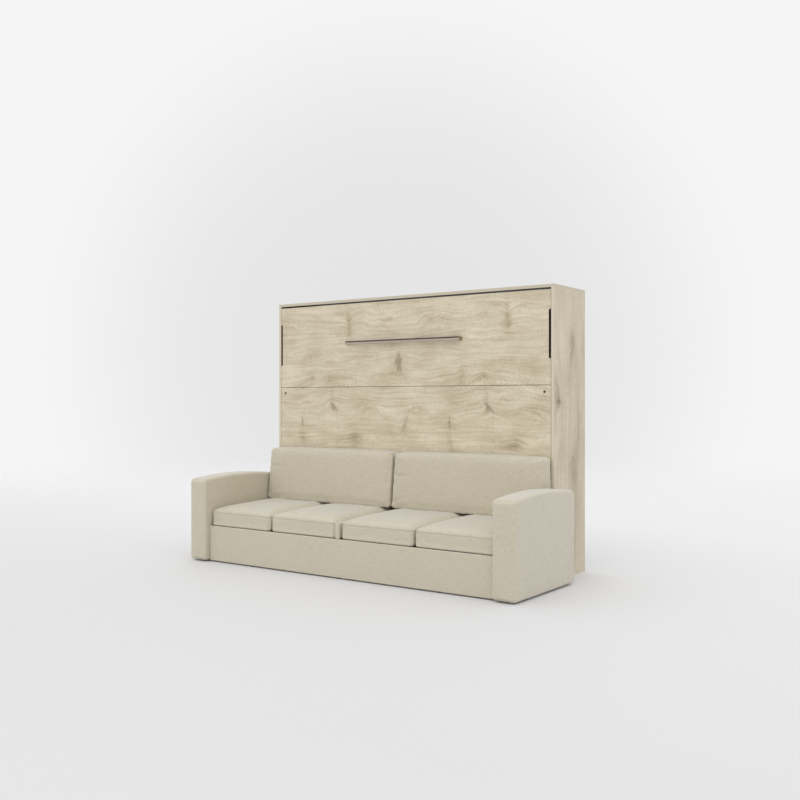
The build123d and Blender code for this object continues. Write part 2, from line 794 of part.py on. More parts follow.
# Padded rail between the two middle seat cushions
seat_rear = front - seat_rear_set_back
with BuildPart() as divider_post:
    with BuildSketch(Plane.XY.offset(seat_deck_height)):
        with Locations((0, (apron_front + seat_rear) / 2)):
            RectangleRounded(post_width, seat_rear - apron_front, post_round)
    extrude(amount=post_height)
    fillet(divider_post.faces().sort_by(Axis.Z)[-1].edges(), radius=post_round)
keep("divider_post", divider_post)

# Seat cushions: flat below, crowned above, drawn in along their sides
seat_front = apron_front + seat_front_set_back
seat_bottom = seat_deck_height + seat_lift
seat_width = (arm_inner - post_width / 2 - 3 * seat_gap) / 2
seat_station_shares = (0, 0.025, 0.5, 0.975, 1)
seat_width_shares = (0.975, 1, 0.985, 1, 0.975)
seat_crown_shares = (0.2, 0.4, 0.98, 0.92, 0.75)
seat_centres = [
    sign * (post_width / 2 + seat_gap + seat_width / 2 + step * (seat_width + seat_gap))
    for sign, step in ((-1, 1), (-1, 0), (1, 0), (1, 1))
]


def seat_section(centre, station):
    """Outline of a seat cushion across its width at one station."""
    y = seat_front + seat_station_shares[station] * (seat_rear - seat_front)
    half = seat_width_shares[station] * seat_width / 2
    foot = half - seat_side_round
    middle_z = (seat_bottom + seat_edge_height) / 2
    crown_z = seat_edge_height + seat_crown_shares[station] * (seat_crown_height - seat_edge_height)
    shoulder = foot - seat_shoulder_run
    shoulder_z = seat_edge_height + seat_shoulder_share * (crown_z - seat_edge_height)
    bulge_z = (seat_edge_height + shoulder_z) / 2 + seat_shoulder_bulge * seat_crown_shares[station]
    bulge = (foot + shoulder) / 2
    right_low = (centre + foot, seat_bottom)
    right_high = (centre + foot, seat_edge_height)
    right_shoulder = (centre + shoulder, shoulder_z)
    left_shoulder = (centre - shoulder, shoulder_z)
    left_high = (centre - foot, seat_edge_height)
    left_low = (centre - foot, seat_bottom)
    with BuildSketch(Plane.XZ.offset(-y)) as outline:
        with BuildLine():
            Line(left_low, right_low)
            ThreePointArc(right_low, (centre + half, middle_z), right_high)
            ThreePointArc(right_high, (centre + bulge, bulge_z), right_shoulder)
            ThreePointArc(right_shoulder, (centre, crown_z), left_shoulder)
            ThreePointArc(left_shoulder, (centre - bulge, bulge_z), left_high)
            ThreePointArc(left_high, (centre - half, middle_z), left_low)
        make_face()
    return outline.sketch


def back_section(x_start, station):
    """Outline of a back cushion from front to wall at one station."""
    top = back_bottom_height + back_height_shares[station] * (back_top_height - back_bottom_height)
    shoulder = top - back_top_crown
    face = back_rear - back_depth_shares[station] * back_thickness
    low = (face + back_crown, back_bottom_height)
    high = (face + back_crown + back_lean, shoulder)
    rear_low = (back_rear, back_bottom_height)
    rear_high = (back_rear, shoulder)
    with BuildSketch(Plane.YZ.offset(x_start + back_station_shares[station] * back_width)) as outline:
        with BuildLine():
            Line(low, rear_low)
            Line(rear_low, rear_high)
            ThreePointArc(rear_high, ((back_rear + high[0]) / 2, top), high)
            ThreePointArc(high, (face, (back_bottom_height + shoulder) / 2), low)
        make_face()
    return outline.sketch


# A cushion is a smooth loft with a short straight one at each end
for number, centre in enumerate(seat_centres, start=1):
    with BuildPart() as seat_cushion:
        loft(sections=[seat_section(centre, station) for station in range(1, 4)])
        for first in (0, 3):
            loft(sections=[seat_section(centre, first), seat_section(centre, first + 1)], ruled=True)
    keep(f"seat_cushion_{number}", seat_cushion)

# Back cushions, which lie forward on the seat before the bed comes down
back_width = arm_inner - back_gap / 2 - back_gap
back_rear = front - back_wall_gap
back_station_shares = (0, 0.03, 0.5, 0.97, 1)
back_height_shares = (0.955, 0.99, 1, 0.99, 0.955)
back_depth_shares = (0.72, 0.94, 1, 0.94, 0.72)
for side, sign in (("left", -1), ("right", 1)):
    x_start = min(both(sign, back_gap / 2, back_gap / 2 + back_width))
    with BuildPart() as back_cushion:
        loft(sections=[back_section(x_start, station) for station in range(1, 4)])
        for first in (0, 3):
            loft(sections=[back_section(x_start, first), back_section(x_start, first + 1)], ruled=True)
    keep(f"back_cushion_{side}", back_cushion)

print("cabinet", 2 * cabinet_outer, cabinet_depth, cabinet_height)
print("fold pivot", pivot_y, pivot_z, "leg pivot", leg_pivot_y, leg_pivot_z)
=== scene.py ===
import math

import bpy
import numpy as np
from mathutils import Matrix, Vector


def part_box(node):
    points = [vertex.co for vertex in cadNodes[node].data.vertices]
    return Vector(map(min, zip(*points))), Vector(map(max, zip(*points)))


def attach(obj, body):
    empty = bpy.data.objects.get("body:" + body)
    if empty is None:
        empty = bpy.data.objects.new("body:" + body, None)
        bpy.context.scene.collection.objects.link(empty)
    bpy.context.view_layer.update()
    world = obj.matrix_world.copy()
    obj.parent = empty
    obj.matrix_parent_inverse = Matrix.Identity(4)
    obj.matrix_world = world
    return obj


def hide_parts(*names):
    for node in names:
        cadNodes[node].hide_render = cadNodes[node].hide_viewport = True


# A fold-down wall bed in light oak with a linen sofa in front of it, in metres.
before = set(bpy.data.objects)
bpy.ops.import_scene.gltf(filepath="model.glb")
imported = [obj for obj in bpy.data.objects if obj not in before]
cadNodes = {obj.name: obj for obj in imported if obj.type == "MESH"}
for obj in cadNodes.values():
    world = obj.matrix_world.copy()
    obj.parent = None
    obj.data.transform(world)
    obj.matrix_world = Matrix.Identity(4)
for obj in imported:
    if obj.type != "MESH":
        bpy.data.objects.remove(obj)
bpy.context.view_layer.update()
scene = bpy.context.scene
print("stage: frame loaded,", len(cadNodes), "parts")


# Node trees
def addNode(tree, kind, **settings):
    node = tree.nodes.new(kind)
    for key, value in settings.items():
        setattr(node, key, value)
    return node


def feed(tree, socket, value):  # a link from a socket, or a plain number or colour
    if isinstance(value, bpy.types.NodeSocket):
        tree.links.new(value, socket)
    else:
        socket.default_value = value


def reckon(tree, operation, *values, limit=False):
    node = addNode(tree, "ShaderNodeMath", operation=operation, use_clamp=limit)
    for socket, value in zip(node.inputs, values):
        feed(tree, socket, value)
    return node.outputs[0]


def addScaled(tree, total, value, weight, limit=False):  # the total plus the value times its weight
    return reckon(tree, "MULTIPLY_ADD", value, weight, total, limit=limit)


def reckonVector(tree, operation, *values):
    node = addNode(tree, "ShaderNodeVectorMath", operation=operation)
    for socket, value in zip(node.inputs, values):
        feed(tree, socket, value)
    return node.outputs["Value" if operation in ("LENGTH", "DOT_PRODUCT") else "Vector"]


def split(tree, vector):
    node = addNode(tree, "ShaderNodeSeparateXYZ")
    tree.links.new(vector, node.inputs[0])
    return node.outputs[0], node.outputs[1], node.outputs[2]


def combine(tree, x, y, z=0.0):
    node = addNode(tree, "ShaderNodeCombineXYZ")
    for socket, value in zip(node.inputs, (x, y, z)):
        feed(tree, socket, value)
    return node.outputs[0]


def speckle(tree, vector, scale=1.0, detail=2.0):  # noise from 0 to 1
    node = addNode(tree, "ShaderNodeTexNoise")
    feed(tree, node.inputs["Vector"], vector)
    node.inputs["Scale"].default_value = scale
    node.inputs["Detail"].default_value = detail
    return node.outputs["Fac"]


def rerange(tree, value, low, high, newLow=0.0, newHigh=1.0, smooth=False):
    node = addNode(tree, "ShaderNodeMapRange", interpolation_type="SMOOTHSTEP" if smooth else "LINEAR")
    for socket, number in zip(node.inputs, (value, low, high, newLow, newHigh)):
        feed(tree, socket, number)
    return node.outputs[0]


def blendColour(tree, share, first, second, kind="MIX"):
    node = addNode(tree, "ShaderNodeMix", data_type="RGBA", blend_type=kind)
    feed(tree, node.inputs["Factor"], share)
    feed(tree, node.inputs[6], first)
    feed(tree, node.inputs[7], second)
    return node.outputs[2]


def newGroup(name, inputs, outputs):
    tree = bpy.data.node_groups.new(name, "ShaderNodeTree")
    for label, kind, value in inputs:
        socket = tree.interface.new_socket(label, in_out="INPUT", socket_type=kind)
        if value is not None:
            socket.default_value = value
    for label, kind in outputs:
        tree.interface.new_socket(label, in_out="OUTPUT", socket_type=kind)
    return tree, addNode(tree, "NodeGroupInput"), addNode(tree, "NodeGroupOutput")


def useGroup(tree, group, **values):
    node = addNode(tree, "ShaderNodeGroup", node_tree=group)
    for label, value in values.items():
        feed(tree, node.inputs[label], value)
    return node


def startMaterial(name, **plain):
    material = bpy.data.materials.new(name)
    material.use_nodes = True
    tree = material.node_tree
    shader = tree.nodes["Principled BSDF"]
    for label, value in plain.items():
        shader.inputs[label.replace("_", " ")].default_value = value
    return material, tree, shader


def bumpFrom(tree, shader, height, distance, strength):
    bump = addNode(tree, "ShaderNodeBump")
    bump.inputs["Strength"].default_value = strength
    bump.inputs["Distance"].default_value = distance
    tree.links.new(height, bump.inputs["Height"])
    tree.links.new(bump.outputs[0], shader.inputs["Normal"])


def fromScreen(red, green, blue):  # a colour as a screen shows it, made linear
    channels = [c / 255 for c in (red, green, blue)]
    return tuple(c / 12.92 if c <= 0.04045 else ((c + 0.055) / 1.055) ** 2.4 for c in channels) + (1.0,)


def dimmed(colour, share):
    return tuple(share * c for c in colour[:3]) + (1.0,)


floatKind, vectorKind = "NodeSocketFloat", "NodeSocketVector"
noiseRange = (0.3, 0.7)  # where most values of a noise lie

figureLook = {
    "peakSlope": 1.6,  # how steeply a sharp figure falls along the board
    "raggedScale": 60.0, "raggedMark": 0.7, "raggedRings": 1.6,
    "legsFrom": 0.45, "legsTo": -0.75, "legsSpread": 0.3,  # in half heights and half widths of the figure
    "markWidth": 0.16, "markHeight": 0.62, "markFade": 3.4,
    "ringPitch": 0.014,
}


# One figure in the grain: the lines rise over it by its lift, and it has a dark mark and a brown halo.
# Near falls as a bell across its height, and along the board as a bell or, where sharp is 1, as a peak.
def makeFigureGroup(look):
    labels = ("Width", "Height", "Lift", "Sharp", "Slant", "Repeat")
    inputs = [("Place", vectorKind, None), ("Centre", vectorKind, None)]
    tree, source, sink = newGroup(
        "grainFigure",
        inputs + [(label, floatKind, 0.0) for label in labels],
        [("Bend", floatKind), ("Near", floatKind), ("Mark", floatKind), ("Rings", floatKind)],
    )
    inlet = source.outputs
    along, across = split(tree, reckonVector(tree, "SUBTRACT", inlet["Place"], inlet["Centre"]))[:2]
    halfRepeat = reckon(tree, "MULTIPLY", inlet["Repeat"], 0.5)
    along = reckon(tree, "WRAP", along, halfRepeat, reckon(tree, "MULTIPLY", halfRepeat, -1.0))
    along = reckon(tree, "SUBTRACT", along, reckon(tree, "MULTIPLY", across, inlet["Slant"]))
    alongShare = reckon(tree, "ABSOLUTE", reckon(tree, "DIVIDE", along, inlet["Width"]))
    acrossShare = reckon(tree, "DIVIDE", across, inlet["Height"])
    bell = reckon(tree, "MULTIPLY", alongShare, alongShare)
    peak = reckon(tree, "MULTIPLY", alongShare, look["peakSlope"])
    fall = addScaled(tree, bell, reckon(tree, "SUBTRACT", peak, bell), inlet["Sharp"])
    fall = addScaled(tree, fall, acrossShare, acrossShare)
    near = reckon(tree, "EXPONENT", reckon(tree, "MULTIPLY", fall, -1.0))
    tree.links.new(near, sink.inputs["Near"])
    tree.links.new(reckon(tree, "MULTIPLY", near, inlet["Lift"]), sink.inputs["Bend"])
    # a ragged mark, which in a sharp figure parts into two legs below its top
    ragged = reckon(tree, "SUBTRACT", speckle(tree, inlet["Place"], look["raggedScale"]), 0.5)
    spread = reckon(tree, "MULTIPLY", inlet["Sharp"], look["legsSpread"])
    legs = rerange(tree, acrossShare, look["legsFrom"], look["legsTo"], 0.0, spread)
    fromLegs = reckon(tree, "ABSOLUTE", reckon(tree, "SUBTRACT", alongShare, legs))
    markAlong = addScaled(tree, fromLegs, ragged, look["raggedMark"])
    markAlong = reckon(tree, "DIVIDE", markAlong, look["markWidth"])
    markAcross = reckon(tree, "DIVIDE", reckon(tree, "ADD", acrossShare, ragged), look["markHeight"])
    outside = addScaled(tree, reckon(tree, "MULTIPLY", markAlong, markAlong), markAcross, markAcross)
    tree.links.new(rerange(tree, outside, look["markFade"], 0.0, smooth=True), sink.inputs["Mark"])
    # nested rings that follow the outline of the figure
    turns = reckon(tree, "DIVIDE", inlet["Height"], look["ringPitch"])
    turns = reckon(tree, "MULTIPLY", reckon(tree, "POWER", fall, 0.5), turns)
    turns = addScaled(tree, turns, ragged, look["raggedRings"])
    rings = reckon(tree, "SINE", reckon(tree, "MULTIPLY", turns, 2 * math.pi))
    tree.links.new(reckon(tree, "MULTIPLY", rings, near), sink.inputs["Rings"])
    return tree


figureGroup = makeFigureGroup(figureLook)

grainLook = {
    # how often each comes along and across the board, and how far it makes the lines stray
    "waves": ((1.3, 3.2, 0.12), (6.0, 9.0, 0.034), (20.0, 24.0, 0.013)),
    # how often each comes along and across the board, its detail and its weight
    "streaks": ((1.2, 10.0, 2.0, 0.3), (3.2, 44.0, 2.0, 0.55), (6.0, 95.0, 3.0, 0.62),
                (16.0, 420.0, 2.0, 0.3)),
    "clouds": (4.5, 7.0, 3.0, 0.8), "rays": (75.0, 30.0, 2.0, 0.34),
    "ringPitch": 0.03, "ring": 0.055, "ringBands": (1.5, 12.0), "bandRange": (-0.1, 0.2), "ringLeast": 0.2,
    "figureRing": 0.13,
    "pores": (16.0, 900.0), "poresFrom": 0.12, "poresTo": 0.3, "toneRelief": 0.6,
}


# Oak grain: x runs along the fibre and y across it; tone is 0 for dark and 1 for light.
# Streaks of stretched noise and rings run over the bent y, and boost makes the streaks stronger.
def makeGrainGroup(look):
    tree, source, sink = newGroup(
        "oakGrain",
        [("Place", vectorKind, None), ("Bend", floatKind, 0.0), ("Rings", floatKind, 0.0),
         ("Boost", floatKind, 0.0)],
        [("Tone", floatKind), ("Pores", floatKind), ("Height", floatKind)],
    )
    inlet = source.outputs
    along, across, layer = split(tree, inlet["Place"])

    def stretched(over, alongScale, acrossScale, detail=1.0):
        alongPlace = reckon(tree, "MULTIPLY", along, alongScale)
        place = combine(tree, alongPlace, reckon(tree, "MULTIPLY", over, acrossScale), layer)
        return reckon(tree, "SUBTRACT", speckle(tree, place, detail=detail), 0.5)

    bent = reckon(tree, "SUBTRACT", across, inlet["Bend"])
    for alongScale, acrossScale, amount in look["waves"]:
        bent = addScaled(tree, bent, stretched(across, alongScale, acrossScale), amount)
    lines = 0.0
    for *stretch, weight in look["streaks"]:
        lines = addScaled(tree, lines, stretched(bent, *stretch), weight)
    tone = addScaled(tree, 0.5, lines, reckon(tree, "ADD", inlet["Boost"], 1.0))
    *stretch, weight = look["clouds"]
    tone = addScaled(tree, tone, stretched(across, *stretch), weight)
    rings = reckon(tree, "SINE", reckon(tree, "MULTIPLY", bent, 2 * math.pi / look["ringPitch"]))
    bands = stretched(across, *look["ringBands"])
    bands = rerange(tree, bands, *look["bandRange"], look["ringLeast"], 1.0)
    tone = addScaled(tree, tone, reckon(tree, "MULTIPLY", rings, bands), look["ring"])
    tone = addScaled(tree, tone, inlet["Rings"], look["figureRing"])
    *stretch, weight = look["rays"]
    tone = addScaled(tree, tone, stretched(across, *stretch), weight, limit=True)
    pores = rerange(tree, stretched(bent, *look["pores"]), look["poresFrom"], look["poresTo"])
    relief = reckon(tree, "SUBTRACT", reckon(tree, "MULTIPLY", tone, look["toneRelief"]), pores)
    tree.links.new(tone, sink.inputs["Tone"])
    tree.links.new(pores, sink.inputs["Pores"])
    tree.links.new(relief, sink.inputs["Height"])
    return tree


grainGroup = makeGrainGroup(grainLook)

# Figures: along and across the board, half width, half height, lift, sharp, slant, dark mark, brown halo
frontFigures = (
    (-0.034, 1.292, 0.070, 0.050, 0.060, 1.0, 0.05, 0.40, 0.34),
    (-0.025, 1.238, 0.060, 0.035, 0.030, 1.0, -0.20, 0.22, 0.26),
    (-0.565, 0.985, 0.055, 0.038, 0.055, 1.0, -0.55, 0.38, 0.40),
    (-0.580, 1.050, 0.024, 0.050, 0.000, 0.0, 0.00, 0.05, 0.28),
    (-0.537, 1.135, 0.260, 0.105, 0.050, 0.0, 0.00, 0.00, 0.08),
    (-0.600, 1.175, 0.035, 0.030, 0.030, 0.0, 0.00, 0.10, 0.20),
    (-0.435, 1.530, 0.028, 0.085, -0.030, 0.3, -0.06, 0.10, 0.50),
    (-0.500, 1.600, 0.060, 0.018, 0.000, 0.0, -1.20, 0.00, 0.40),
    (-0.340, 1.590, 0.060, 0.045, 0.030, 0.0, 0.00, 0.00, 0.06),
    (-0.385, 0.775, 0.055, 0.060, 0.020, 0.0, 0.15, 0.05, 0.40),
    (-0.840, 0.890, 0.022, 0.050, 0.015, 0.5, 0.00, 0.25, 0.26),
    (-0.835, 0.775, 0.024, 0.055, 0.000, 0.0, -0.25, 0.00, 0.36),
    (0.017, 0.880, 0.034, 0.060, 0.030, 0.5, 0.35, 0.20, 0.32),
    (-0.280, 0.975, 0.120, 0.040, 0.035, 0.0, 0.00, 0.00, 0.12),
    (0.110, 0.985, 0.100, 0.035, 0.040, 0.0, 0.00, 0.00, 0.08),
    (-0.750, 1.180, 0.032, 0.050, 0.020, 0.5, 0.20, 0.05, 0.24),
    (0.200, 1.560, 0.160, 0.050, 0.040, 0.0, 0.00, 0.00, 0.10),
    (-0.100, 0.790, 0.130, 0.030, 0.000, 0.0, 0.00, 0.00, -0.16),
)
sideFigures = (
    (1.370, 0.378, 0.075, 0.036, 0.040, 0.0, 0.00, 0.00, 0.66),
    (1.021, 0.206, 0.050, 0.036, 0.030, 0.6, 0.00, 0.30, 0.62),
    (1.080, 0.190, 0.110, 0.060, 0.030, 0.0, 0.00, 0.00, 0.24),
    (0.820, 0.450, 0.200, 0.050, 0.030, 0.0, 0.10, 0.00, 0.32),
    (0.620, 0.400, 0.120, 0.036, 0.040, 0.0, 0.00, 0.00, 0.38),
    (0.760, 0.240, 0.090, 0.040, 0.030, 0.5, 0.00, 0.00, 0.30),
    (0.300, 0.420, 0.260, 0.090, 0.030, 0.0, 0.10, 0.00, 0.26),
)


def paintBetween(tree, colour, place, low, high, facing, paint):  # on the faces that facing picks
    above = reckon(tree, "GREATER_THAN", place, low)
    within = reckon(tree, "MULTIPLY", above, reckon(tree, "LESS_THAN", place, high))
    return blendColour(tree, reckon(tree, "MULTIPLY", within, facing), colour, fromScreen(*paint))


def paintSlotShade(tree, colour, axes, normals, look):  # painted shade: black on the slot walls and dark brown on the front panel ends, where the gaps are in shade
    aside = reckon(tree, "ABSOLUTE", axes[0])
    facing = reckon(tree, "GREATER_THAN", reckon(tree, "ABSOLUTE", normals[0]), look["slotFacing"])
    colour = paintBetween(tree, colour, aside, look["slotFrom"], look["endFrom"], facing, look["paintedDeepShade"])
    return paintBetween(tree, colour, aside, look["endFrom"], look["endTo"], facing, look["paintedGapShade"])


def paintGapShade(tree, colour, axes, normals, look):  # painted shade: a dark band on the inner face, beside the closed front, where the gap is in shade
    inward = reckon(tree, "LESS_THAN", reckon(tree, "MULTIPLY", normals[0], axes[0]), look["gapShadeFacing"])
    return paintBetween(tree, colour, axes[1], look["gapShadeFrom"], look["gapShadeTo"], inward, look["paintedGapShade"])


def paintUnderShade(tree, colour, axes, normals, look):  # painted shade: black on the face that looks down, which keeps the gap above the closed front dark
    below = rerange(tree, normals[2], *look["underShadeRange"])
    return blendColour(tree, below, colour, fromScreen(*look["paintedDeepShade"]))


# Oak decor on board faces, and a plainer, warmer band on the edges of the boards
def makeOak(name, fibre, across, face, look, figures=(), paint=None):
    material, tree, shader = startMaterial(name)
    coordinates = addNode(tree, "ShaderNodeTexCoord")
    axes = split(tree, coordinates.outputs["Object"])
    normals = split(tree, coordinates.outputs["Normal"])
    flat = combine(tree, axes[fibre], axes[across])
    depth = reckon(tree, "MULTIPLY", axes[face], look["depthShare"])
    place = combine(tree, axes[fibre], axes[across], depth)
    place = reckonVector(tree, "MULTIPLY", place, (look["fineness"],) * 3)
    bend, darkMark, brownHalo, rings = 0.0, 0.0, 0.0, 0.0
    for x, y, width, height, lift, sharp, slant, mark, brown in figures:
        figure = useGroup(tree, figureGroup, Place=flat, Centre=(x, y, 0.0), Width=width, Height=height,
                          Lift=lift, Sharp=sharp, Slant=slant, Repeat=look["repeat"]).outputs
        bend = reckon(tree, "ADD", bend, figure["Bend"])
        rings = reckon(tree, "ADD", rings, figure["Rings"])
        darkMark = addScaled(tree, darkMark, figure["Mark"], mark)
        ringed = addScaled(tree, figure["Near"], figure["Rings"], look["haloRings"])
        brownHalo = addScaled(tree, brownHalo, ringed, brown)
    boost = reckon(tree, "MULTIPLY", brownHalo, look["boost"])
    grain = useGroup(tree, grainGroup, Place=place, Bend=bend, Rings=rings, Boost=boost).outputs
    shades = {key: fromScreen(*look[key]) for key in ("light", "dark", "edge", "brown", "black")}
    colour = blendColour(tree, grain["Tone"], shades["dark"], shades["light"])
    poreShare = reckon(tree, "MULTIPLY", grain["Pores"], look["poreShade"])
    colour = blendColour(tree, poreShare, colour, shades["brown"])
    if figures:
        colour = blendColour(tree, brownHalo, colour, shades["brown"])
        colour = blendColour(tree, darkMark, colour, shades["black"])
    edgePlace = reckonVector(tree, "MULTIPLY", coordinates.outputs["Object"], look["edgeGrain"])
    edgeTone = reckon(tree, "MULTIPLY", speckle(tree, edgePlace), look["edgeStreaks"])
    edge = blendColour(tree, edgeTone, shades["edge"], shades["dark"])
    onFace = rerange(tree, reckon(tree, "ABSOLUTE", normals[face]), *look["faceRange"], smooth=True)
    colour = blendColour(tree, onFace, edge, colour)
    # painted shade in slots, gaps and on downward faces, where the board's finish has it
    if paint:
        colour = paint(tree, colour, axes, normals, look)
    tree.links.new(colour, shader.inputs["Base Color"])
    rough = rerange(tree, grain["Tone"], *look["toneRange"], *look["roughness"])
    tree.links.new(rough, shader.inputs["Roughness"])
    bumpFrom(tree, shader, grain["Height"], look["relief"], look["bump"])
    return material


oakLook = {
    "light": (235, 225, 202), "dark": (172, 157, 129), "edge": (214, 203, 181), "brown": (150, 130, 98),
    # painted shade: the last two colours, black for downward faces and slot walls, and dark brown for the
    # front panel ends and the side faces beside the closed front
    "black": (92, 78, 52), "paintedDeepShade": (20, 18, 16), "paintedGapShade": (84, 72, 56),
    "repeat": 9.0,  # longer than any board, so that no figure comes twice
    "fineness": 1.0, "depthShare": 0.6, "boost": 4.0, "haloRings": 0.4, "poreShade": 0.3,
    "edgeGrain": (8.0, 300.0, 8.0), "edgeStreaks": 0.25,
    "faceRange": (0.5, 0.8),  # of the normal across the board: below it an edge, above it a face
    "toneRange": (0.2, 0.8), "roughness": (0.62, 0.5), "relief": 0.0003, "bump": 0.5,
    "slotFrom": 1.0, "endFrom": 1.0345, "endTo": 1.04, "slotFacing": 0.25,
    "gapShadeFrom": 0.144, "gapShadeTo": 0.1605, "underShadeRange": (-0.5, -0.8),
    "gapShadeFacing": -0.5,  # the normal times the place along x, below which a side looks inward
}
oakFrontLook = dict(oakLook, repeat=1.19)
oakSideLook = dict(oakLook, light=(219, 209, 188), dark=(176, 165, 142), brown=(150, 132, 106), fineness=0.5)
oakTopLook = dict(oakLook, edge=(199, 190, 171))
beechLook = dict(oakLook, light=(230, 206, 168), dark=(190, 156, 112), edge=(214, 184, 140))
boardLook = dict(oakLook, light=(218, 207, 184), dark=(174, 160, 132), edge=(205, 190, 158))
oakFront = makeOak("oakFront", 0, 2, 1, oakFrontLook, frontFigures, paintSlotShade)
oakSide = makeOak("oakSide", 2, 1, 0, oakSideLook, sideFigures, paintGapShade)
oakTop = makeOak("oakTop", 0, 1, 2, oakTopLook, paint=paintUnderShade)
beech = makeOak("beech", 2, 0, 1, beechLook)
boardLong = makeOak("frameBoardLong", 0, 1, 2, boardLook)
boardFlat = makeOak("frameBoardFlat", 0, 2, 1, boardLook)
boardEnd = makeOak("frameBoardEnd", 2, 1, 0, boardLook)
print("stage: oak ready")

weaveLook = {
    "wanderScale": 60.0, "wander": 0.002, "slubs": (28.0, 330.0), "streaks": (14.0, 150.0),
    "slubTone": 0.31, "threadTone": 0.14, "streakTone": 0.24, "slubRelief": 0.8,
    "sideSharpness": 6.0,  # how sharply one side's weave gives way to the next one's at an edge
}


# Linen weave on one plane: warp and weft are sines of the wandering place, and slubs are stretched noise
def makeWeaveGroup(look):
    tree, source, sink = newGroup(
        "linenWeave",
        [("Place", vectorKind, None), ("Pitch", floatKind, 0.0014)],
        [("Tone", floatKind), ("Height", floatKind)],
    )
    inlet = source.outputs
    x, y = split(tree, inlet["Place"])[:2]

    def stretched(xScale, yScale, layer, detail=2.0):
        xPlace = reckon(tree, "MULTIPLY", x, xScale)
        place = combine(tree, xPlace, reckon(tree, "MULTIPLY", y, yScale), layer)
        return speckle(tree, place, detail=detail)

    wander = reckon(tree, "SUBTRACT", speckle(tree, inlet["Place"], look["wanderScale"]), 0.5)
    turn = reckon(tree, "DIVIDE", math.pi, inlet["Pitch"])
    warp, weft = (
        reckon(tree, "SINE", reckon(tree, "MULTIPLY", addScaled(tree, side, wander, look["wander"]), turn))
        for side in (x, y)
    )
    thread = addScaled(tree, 0.5, reckon(tree, "MULTIPLY", warp, weft), 0.5)
    few, many = look["slubs"]
    slub = reckon(tree, "ADD", stretched(few, many, layer=0.0), stretched(many, few, layer=5.0))
    tone = reckon(tree, "MULTIPLY", slub, look["slubTone"])
    tone = addScaled(tree, tone, thread, look["threadTone"])
    streaks = stretched(*look["streaks"], layer=2.0, detail=3.0)
    tone = addScaled(tree, tone, streaks, look["streakTone"])
    tree.links.new(tone, sink.inputs["Tone"])
    tree.links.new(addScaled(tree, thread, slub, look["slubRelief"]), sink.inputs["Height"])
    return tree


weaveGroup = makeWeaveGroup(weaveLook)


# The weave laid on a rounded form from three sides, each where the surface faces it
def makeBoxWeaveGroup(look):
    tree, source, sink = newGroup(
        "linenAllRound",
        [("Place", vectorKind, None), ("Facing", vectorKind, None), ("Pitch", floatKind, 0.0014)],
        [("Tone", floatKind), ("Height", floatKind)],
    )
    x, y, z = split(tree, source.outputs["Place"])
    sides = split(tree, source.outputs["Facing"])
    sharpness = look["sideSharpness"]
    weights = [reckon(tree, "POWER", reckon(tree, "ABSOLUTE", side), sharpness) for side in sides]
    total = reckon(tree, "ADD", reckon(tree, "ADD", weights[0], weights[1]), weights[2])
    tone, height = 0.0, 0.0
    # the third number gives each side noise of its own
    places = combine(tree, y, z), combine(tree, x, z, 3.0), combine(tree, x, y, 7.0)
    for weight, place in zip(weights, places):
        weave = useGroup(tree, weaveGroup, Place=place, Pitch=source.outputs["Pitch"]).outputs
        share = reckon(tree, "DIVIDE", weight, total)
        tone = addScaled(tree, tone, weave["Tone"], share)
        height = addScaled(tree, height, weave["Height"], share)
    tree.links.new(tone, sink.inputs["Tone"])
    tree.links.new(height, sink.inputs["Height"])
    return tree


boxWeaveGroup = makeBoxWeaveGroup(weaveLook)

fabricLook = {
    "roughness": 0.92, "sheen": 0.42, "sheenRoughness": 0.5, "sheenTint": (0.82, 0.88, 1.0, 1.0),
    "toneFrom": 0.3, "toneTo": 0.7, "cloudScale": 7.0, "cloud": 0.12, "grooveShadeLevel": 0.25, "bump": 0.6,
}
linenLook = dict(fabricLook, light=(214, 206, 188), dark=(182, 174, 151), pitch=0.0014, relief=0.0005)
knitLook = dict(fabricLook, light=(238, 238, 236), dark=(214, 214, 212), pitch=0.0011, relief=0.0003)
webbingLook = dict(fabricLook, light=(52, 50, 48), dark=(26, 25, 24), pitch=0.0018, relief=0.0005)


def makeFabric(name, look):  # woven threads and soft clouds, with painted shade where the seam attribute marks seam grooves and creases
    material, tree, shader = startMaterial(
        name, Roughness=look["roughness"], Sheen_Weight=look["sheen"],
        Sheen_Roughness=look["sheenRoughness"], Sheen_Tint=look["sheenTint"],
    )
    coordinates = addNode(tree, "ShaderNodeTexCoord").outputs
    weave = useGroup(tree, boxWeaveGroup, Place=coordinates["Object"], Facing=coordinates["Normal"],
                     Pitch=look["pitch"]).outputs
    clouds = speckle(tree, coordinates["Object"], look["cloudScale"], detail=3.0)
    tone = rerange(tree, weave["Tone"], look["toneFrom"], look["toneTo"])
    tone = addScaled(tree, tone, reckon(tree, "SUBTRACT", clouds, 0.5), look["cloud"], limit=True)
    light, dark = fromScreen(*look["light"]), fromScreen(*look["dark"])
    colour = blendColour(tree, tone, dark, light)
    # painted shade: the seam attribute holds how much shade falls in seam grooves and creases
    seam = addNode(tree, "ShaderNodeAttribute", attribute_name="seam").outputs["Fac"]
    colour = blendColour(tree, seam, colour, dimmed(dark, look["grooveShadeLevel"]))
    tree.links.new(colour, shader.inputs["Base Color"])
    bumpFrom(tree, shader, weave["Height"], look["relief"], look["bump"])
    return material


linen = makeFabric("sofaLinen", linenLook)
ticking = makeFabric("mattressKnit", knitLook)
webbing = makeFabric("strapWebbing", webbingLook)

